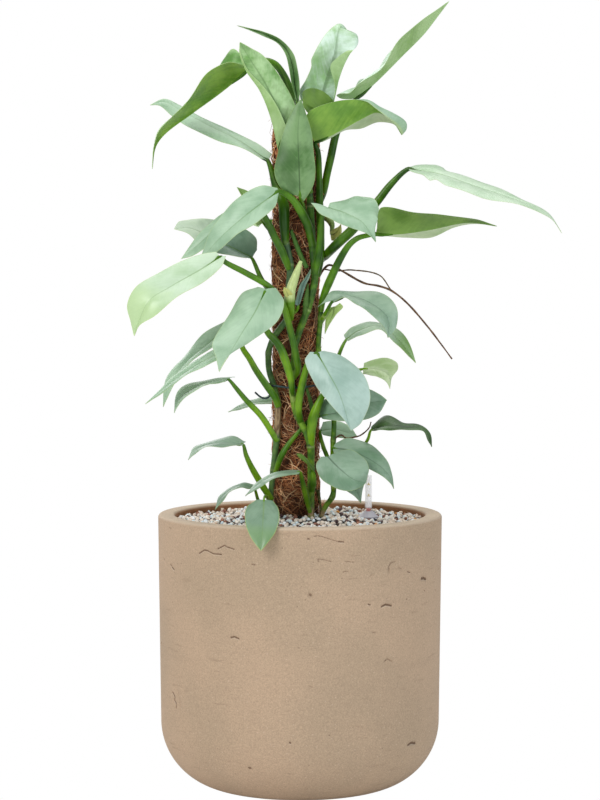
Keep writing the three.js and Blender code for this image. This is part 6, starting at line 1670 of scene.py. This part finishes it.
def smooth_blade(leaf, phase):
    """The blade's middle sheet as rows of points from edge a to edge b, with what the materials need."""
    tip = at(leaf["rib"][-1])
    rib, rib_length = smooth_line([at(point) for point in leaf["rib"]])
    halves = {}
    for half in "ab":
        edge, _ = smooth_line([*[at(point) for point in leaf[half]], tip])
        fold = None
        if f"fold_{half}" in leaf:
            fold, _ = smooth_line([*[at(point) for point in leaf[f"fold_{half}"]], tip])
        halves[half] = (edge, fold)
    rows = int(np.clip(rib_length / (1.7 * MM), 24, 110))
    stations = np.linspace(0, BLADE_END, rows)
    middle = rib(stations)
    along = unit(rib(np.minimum(stations + 0.02, 1)) - middle)
    across = halves["b"][0](stations) - halves["a"][0](stations)
    lift = unit(np.cross(along, across))
    for i in range(1, rows):
        if np.dot(lift[i], lift[i - 1]) < 0:
            lift[i] *= -1
    if np.sum(lift @ np.array(leaf.get("face", (0, -1, 0)))) < 0:
        lift *= -1
    for _ in range(3):
        lift[1:-1] = unit(lift[:-2] + 2 * lift[1:-1] + lift[2:])
    widths = np.linalg.norm(across, axis=1)
    steps = int(np.clip(widths.max() / 2 / (2.2 * MM), 6, 14))
    shares = np.linspace(0, 1, steps + 1)
    calm = np.clip(np.minimum(stations / 0.12, (1 - stations) / 0.15), 0, 1)
    columns = []
    for half, sign in (("a", -1), ("b", 1)):
        edge, fold = halves[half]
        rim = edge(stations)
        reach = np.linalg.norm(rim - middle, axis=1)
        wave = np.sin(stations * (7.5 + 2.1 * math.sin(phase)) + phase + sign) * calm
        ripple = np.sin(stations * (19 + 3 * math.sin(phase * 1.7)) + 2.3 * phase - sign) * calm
        for share in (shares[:0:-1] if half == "a" else shares):
            if fold is None:
                place = middle + (rim - middle) * share
                place = place + lift * (4 * share * (1 - share) * CAMBER * reach)[:, None]
                sway = (0.075 * wave + 0.03 * ripple) * share ** 2 * reach
                place = place + lift * sway[:, None]
            else:
                place = (middle * ((1 - share) * (1 - 2 * share)) + fold(stations) * (4 * share * (1 - share))
                         + rim * (share * (2 * share - 1)))
            gap = share * reach
            vein = stations * rib_length - 1.1 * gap - 14 * gap ** 2
            vein = vein + 1.5 * MM * np.sin(stations * 11 + phase + sign)
            vein = vein + 0.7 * MM * np.sin(stations * 29 + 3 * phase)
            quilt = QUILT * np.cos(2 * math.pi * vein / VEIN_SPACING) * np.clip(gap / (5 * MM), 0, 1)
            valley = 0.4 * MM * np.exp(-(gap / (2.4 * MM)) ** 2)
            place = place - lift * ((valley + quilt * (1 - 0.6 * share)) * calm)[:, None]
            columns.append((place, sign * share, gap, (1 - share) * reach, vein))
    places, cross_shares, rib_gaps, edge_gaps, veins = zip(*columns)
    grid, rib_gap, edge_gap, vein_place = (
        np.stack(numbers, axis=1) for numbers in (places, rib_gaps, edge_gaps, veins))
    cross_share = np.tile(cross_shares, (rows, 1))
    edge_gap = np.minimum(edge_gap, ((1 - stations) * rib_length)[:, None])
    return grid, tip, lift, stations, cross_share, rib_gap, edge_gap, vein_place, rib_length


def blade(leaf, phase):
    """A closed blade with a silver side, an under side and a thin edge, and its numbers for the materials."""
    (grid, tip, lift, stations, cross_share, rib_gap, edge_gap, vein_place,
     rib_length) = smooth_blade(leaf, phase)
    rows, columns = grid.shape[:2]
    down = np.gradient(grid, axis=0)
    over = np.gradient(grid, axis=1)
    normals = unit(np.cross(down, over))
    if np.sum(normals[:, columns // 2] * lift) < 0:
        normals = -normals
    thick = BLADE_EDGE + (BLADE_MIDDLE - BLADE_EDGE) * np.exp(-(rib_gap / RIB_WIDTH) ** 2)
    thick = thick * (1 - 0.45 * stations)[:, None]
    top = grid + normals * (BLADE_EDGE / 2)
    under = grid - normals * (thick - BLADE_EDGE / 2)[..., None]
    count = rows * columns
    points = np.concatenate([top.reshape(-1, 3), [tip], under.reshape(-1, 3), [tip - lift[-1] * BLADE_EDGE]])
    top_tip = count
    below = count + 1
    faces = []
    marks = []
    for row in range(rows - 1):
        for column in range(columns - 1):
            a = row * columns + column
            quad = (a, a + 1, a + columns + 1, a + columns)
            faces += [quad, tuple(below + i for i in reversed(quad))]
            # Slot 3, the b half's under side, can take a paler material for a painted sheen.
            marks += [0, 1 if column < columns // 2 else 3]
    last = (rows - 1) * columns
    for column in range(columns - 1):
        fan = (last + column, last + column + 1, top_tip)
        faces += [fan, tuple(below + i for i in reversed(fan))]
        marks += [0, 1]
    loop = ([*range(columns)] + [row * columns + columns - 1 for row in range(1, rows)] + [top_tip]
            + [row * columns for row in range(rows - 1, 0, -1)])
    for here, there in zip(loop, loop[1:] + loop[:1]):
        faces.append((here, below + here, below + there, there))
        marks.append(0)
    corner = points[faces[0][1]] - points[faces[0][0]]
    if np.dot(np.cross(corner, points[faces[0][3]] - points[faces[0][0]]), normals[0, 0]) < 0:
        faces = [tuple(reversed(face)) for face in faces]

    def both(values, at_tip):
        flat = np.append(values.ravel(), at_tip)
        return np.concatenate([flat, flat])

    rise = np.repeat(stations[:, None], columns, axis=1)
    values = {"rib_gap": both(rib_gap, 0), "edge_gap": both(edge_gap, 0), "rise": both(rise, 1),
              "vein": both(vein_place, rib_length), "cross": both(cross_share, 0)}
    return points, faces, marks, values, lift


def from_groove(angles):
    """How far each angle round a leaf stalk is from the groove."""
    return np.abs((angles + math.pi) % (2 * math.pi) - math.pi)


def grooved(shares, angles):
    """A leaf stalk has a groove between two thin wings on its inner side, which fade towards the blade."""
    fade = np.clip(1.25 - 1.1 * shares, 0.12, 1)
    turn = from_groove(angles)
    groove = 0.34 * fade * np.exp(-(turn / 0.42) ** 2)
    wings = 0.16 * fade * np.exp(-((turn - WING_ANGLE) / 0.3) ** 2)
    return 1 - groove + wings


def stalk(leaf, lift):
    """The leaf stalk, which runs into the under side of the midrib."""
    rib, rib_length = smooth_line([at(point) for point in leaf["rib"]])
    path = [at(point) for point in leaf["petiole"]]
    girth = list(leaf["girth"])
    if not leaf.get("shoot"):
        path += [rib(0.05) - lift[0] * 1.3 * MM, rib(STALK_JOINS_RIB) - lift[1] * 1.1 * MM]
        girth.append(1.0)
    return bar(path, girth, STALK_SIDES, 3.2 * MM, None, None if leaf.get("shoot") else grooved)


# The pattern of a blade, for both sides: a cloudy shade drawn out along the side veins, thin uneven side
# veins that arch from the midrib to the margin, the midrib's line, a tip of another green on some blades
# and a thin yellowish margin.
vein_tree, vein_in, vein_out = new_group(
    "leaf_veins",
    {"Place": ("NodeSocketVector", (0, 0, 0)), "Pale": ("NodeSocketColor", (0.5, 0.7, 0.5, 1)),
     "Deep": ("NodeSocketColor", (0.3, 0.5, 0.3, 1)), "Margin": ("NodeSocketColor", (0.6, 0.7, 0.3, 1)),
     "Rib": ("NodeSocketColor", (0.3, 0.5, 0.3, 1)), "Vein": ("NodeSocketColor", (0.6, 0.7, 0.5, 1)),
     "Vein Strength": ("NodeSocketFloat", 0.2), "Patches": ("NodeSocketFloat", 0.3),
     "Tip": ("NodeSocketColor", (0.5, 0.6, 0.3, 1)), "Tip Strength": ("NodeSocketFloat", 0.0)},
    {"Colour": "NodeSocketColor", "Gloss": "NodeSocketFloat"})
along_leaf = kept(vein_tree, "vein")
cross_leaf = kept(vein_tree, "cross")
streak_place = add(vein_tree, "ShaderNodeCombineXYZ", {
    0: along_leaf, 1: times(cross_leaf, 0.007)}).outputs[0]
slow_place = shaded(vein_in["Place"], 0.16)
streak_place = add(vein_tree, "ShaderNodeVectorMath", {0: streak_place, 1: slow_place}, operation="ADD")
streak_place = streak_place.outputs[0]
streaks = noise(streak_place, 170.0, 3.0, 0.6)
fine_streaks = noise(streak_place, 640.0, 2.0, 0.5)
cloud = noise(vein_in["Place"], 27.0, 4.0, 0.6)
drawn = plus(times(cloud, 0.78), times(streaks, 0.22))
leaf_tone = blend(spread(drawn, 0.36, 0.62), vein_in["Deep"], vein_in["Pale"])
patch_place = add(vein_tree, "ShaderNodeVectorMath", {
    0: vein_in["Place"], 1: (3.1, 1.7, 5.3)}, operation="ADD")
patch = noise(patch_place.outputs[0], 19.0, 4.0, 0.62)
patch = plus(patch, times(minus(streaks, 0.5), 0.35))
patch = times(spread(patch, 0.5, 0.66), vein_in["Patches"])
leaf_tone = blend(patch, leaf_tone, shaded(vein_in["Deep"], 0.62))
leaf_tone = shaded(leaf_tone, spread(fine_streaks, 0.3, 0.7, 0.985, 1.015))
towards_tip = plus(kept(vein_tree, "rise"), times(minus(cloud, 0.5), 0.3))
tip_share = times(spread(towards_tip, 0.5, 0.74), vein_in["Tip Strength"])
leaf_tone = blend(tip_share, leaf_tone, vein_in["Tip"])
phase = plus(divided(along_leaf, VEIN_SPACING), 0.5)
off_vein = maths("ABSOLUTE", minus(maths("FRACT", phase), 0.5))
off_vein = times(off_vein, VEIN_SPACING)
whole = maths("FLOOR", phase)
number = add(vein_tree, "ShaderNodeTexWhiteNoise", {"W": whole}, noise_dimensions="1D")
off_rib = maths("ABSOLUTE", cross_leaf)
towards_rim = minus(1.0, times(off_rib, 0.75))
presence = times(number.outputs["Value"], towards_rim)
vein_line = times(spread(off_vein, 0.6 * MM, 0.1 * MM), presence)
vein_share = times(vein_line, vein_in["Vein Strength"])
leaf_tone = blend(vein_share, leaf_tone, vein_in["Vein"])
rib_fade = minus(1.05, times(kept(vein_tree, "rise"), 0.8))
rib_line = spread(divided(kept(vein_tree, "rib_gap"), rib_fade), 1.6 * MM, 0.5 * MM)
rib_share = times(times(rib_line, rib_fade), 0.8)
leaf_tone = blend(rib_share, leaf_tone, vein_in["Rib"])
rim_line = spread(kept(vein_tree, "edge_gap"), 0.9 * MM, 0.3 * MM)
leaf_tone = blend(times(rim_line, 0.55), leaf_tone, vein_in["Margin"])
vein_tree.links.new(leaf_tone, vein_out.inputs["Colour"])
vein_tree.links.new(spread(cloud, 0.35, 0.65), vein_out.inputs["Gloss"])


def leaf_material(name, kind, rib, vein, vein_strength, roughness):
    """One side of a blade, a waxy skin that is glossier in some places than in others."""
    made, tree, shader = new_material(name, Coat_Weight=0.06, Coat_Roughness=0.3)
    place = object_place(tree)
    group = add(tree, "ShaderNodeGroup", node_tree=vein_tree)
    tree.links.new(place, group.inputs["Place"])
    for socket, value in (("Pale", plain(*kind["pale"])), ("Deep", plain(*kind["deep"])),
                          ("Margin", plain(*kind.get("margin", kind["pale"]))), ("Rib", plain(*rib)),
                          ("Vein", plain(*vein)), ("Vein Strength", vein_strength),
                          ("Patches", kind.get("patches", 0.3)),
                          ("Tip", plain(*kind.get("tip", kind["pale"]))),
                          ("Tip Strength", 0.9 if "tip" in kind else 0.0)):
        group.inputs[socket].default_value = value
    speck, _ = grain(place, 1500.0, 0.05)
    tree.links.new(shaded(group.outputs["Colour"], speck), shader.inputs["Base Color"])
    gloss = spread(group.outputs["Gloss"], 0, 1, roughness - 0.07, roughness + 0.1)
    tree.links.new(gloss, shader.inputs["Roughness"])
    return made


top_materials = {}
for kind_name, (kind, numbers) in TOPS.items():
    rib_tone = kind.get("rib", tuple(0.7 * c for c in kind["deep"]))
    vein_tone = tuple(0.88 * c for c in kind["deep"])
    if "rib" not in kind:
        vein_tone = tuple(min(1.1 * c, 255) for c in kind["pale"])
    material = leaf_material(f"leaf_{kind_name}", kind, rib_tone, vein_tone, 0.28, 0.38)
    top_materials.update({f"leaf_{number:02d}": material for number in numbers})
under_materials = {}
for kind_name, (kind, numbers) in UNDERS.items():
    vein_tone = tuple(1.12 * c for c in kind["pale"])
    material = leaf_material(f"leaf_{kind_name}", kind, kind["pale"], vein_tone, 0.4, 0.42)
    under_materials.update({f"leaf_{number:02d}": material for number in numbers})

stalk_material, stalk_skin, stalk_shader = new_material("leaf_stalk", Roughness=0.34, Specular_IOR_Level=0.32)
here = object_place(stalk_skin)
streaked = drawn_out(here, (1, 1, 0.14))
streaks = noise(streaked, 620.0, 3.0, 0.6)
mottle = spread(noise(here, 30.0, 2.0), 0.35, 0.66)
# Like the stems, the stalks are painted lighter low down, where more light falls.
tone = greens(here, mottle, (plain(36, 78, 2), plain(80, 128, 12)), (plain(64, 112, 2), plain(122, 168, 26)))
# The wings' pale lines are partly their own paler edge and partly a painted highlight along them.
tone = blend(times(kept(stalk_skin, "wing_edge_and_highlight"), 0.9), tone, plain(176, 206, 112))
tone = blend(times(kept(stalk_skin, "foot"), 0.6), tone, plain(176, 190, 116))
tone = blend(kept(stalk_skin, "pale"), tone, plain(196, 212, 142))
tone = shaded(tone, spread(streaks, 0.3, 0.7, 0.88, 1.12))
finish_surface(stalk_shader, tone, streaks, 0.2 * MM, 0.5)

# How pale some stalks are, and the share of the length from which on.
PALE_STALKS = {"leaf_33": (0.35, 0.0), "leaf_34": (1.0, 0.42), "leaf_29": (0.35, 0.0)}

for order, (leaf_name, leaf) in enumerate(LEAVES.items()):
    blade_points, blade_faces, sides, blade_values, lift = blade(leaf, 1.7 * order)
    stalk_points, stalk_faces, shares, angles = stalk(leaf, lift)
    points, faces, _ = joined([(blade_points, blade_faces), (stalk_points, stalk_faces)])
    wing_edge_and_highlight = np.exp(-((from_groove(angles) - WING_ANGLE) / 0.16) ** 2) * np.clip(1.3 - shares, 0.3, 1)
    from_start = np.linalg.norm(stalk_points - at(leaf["petiole"][0]), axis=1)
    foot = np.exp(-((from_start - 6.5 * MM) / (0.7 * MM)) ** 2)
    paleness, pale_from = PALE_STALKS.get(leaf_name, (0, 0))
    none = np.zeros(len(blade_points))
    values = {name: np.concatenate([numbers, np.zeros(len(stalk_points))])
              for name, numbers in blade_values.items()}
    values["wing_edge_and_highlight"] = np.concatenate([none, wing_edge_and_highlight])
    values["foot"] = np.concatenate([none, foot])
    values["pale"] = np.concatenate([none, paleness * np.clip((shares - pale_from) / 0.08 + 1, 0, 1)])
    leaf_object = new_object(
        f"{leaf_name}_blade", points, faces,
        [top_materials[leaf_name], under_materials[leaf_name], stalk_material,
         under_materials[SHEEN_PAINTED_HALVES.get(leaf_name, leaf_name)]],
        sides + [2] * len(stalk_faces), values)
    leaf_object.data.set_sharp_from_angle(angle=math.radians(BLADE_SHARP_ANGLE))
    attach(leaf_object, "root")
    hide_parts(leaf_name)


# Plant tie. One turn of covered wire holds the stems to the pole, and its twisted end sticks out at the
# left. The cover is dark slate plastic. Its height, its radius and the loop's places are in millimetres.
TIE_HEIGHT = 498
TIE_RADIUS = 1.3
TIE_LOOP = [
    (-41.5, -22), (-38, -30.4), (-27, -34.5), (-16, -42.2), (-8, -43), (3, -38.5), (14, -31), (26.5, -12),
    (27, 3), (22, 20), (14, 37), (6, 41.8), (-4, 38), (-20, 29), (-34, 14), (-40, -6), (-41.5, -22),
]
TIE_END = [(271.5, 384.5, -31.5), (271, 391, -32), (269, 396.5, -32.5), (265.3, 398.4, -34),
           (260.6, 397, -36), (255, 392.3, -38)]
TIE_SIDES = 10
TIE_WAVE_STEP = 0.785

tie_material, tie_skin, tie_shader = new_material("slate_cover", Roughness=0.45)
here = object_place(tie_skin)
speck, rough = grain(here, 1200.0, 0.5)
lighter_share = spread(noise(here, 70.0), 0.35, 0.65)
tone = blend(lighter_share, plain(30, 44, 50), plain(48, 78, 78))
finish_surface(tie_shader, shaded(tone, speck), rough, 0.1 * MM)
loop_path = [np.array([x, y, TIE_HEIGHT + 1.5 * math.cos(i * TIE_WAVE_STEP)]) * MM
             for i, (x, y) in enumerate(TIE_LOOP)]
end_path = [at(point) for point in TIE_END]
loop_points, loop_faces, _, _ = bar(loop_path, [TIE_RADIUS] * 2, TIE_SIDES, 2 * MM, closed=True)
end_points, end_faces, _, _ = bar(end_path, [TIE_RADIUS * 0.92] * 2, TIE_SIDES, 1.2 * MM,
                                  lambda s: 1 + 0.1 * np.sin(s * 70))
tie_points, tie_faces, _ = joined([(loop_points, loop_faces), (end_points, end_faces)])
tie = new_object("covered_wire", tie_points, tie_faces, [tie_material])
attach(tie, "root")
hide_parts("plant_tie")
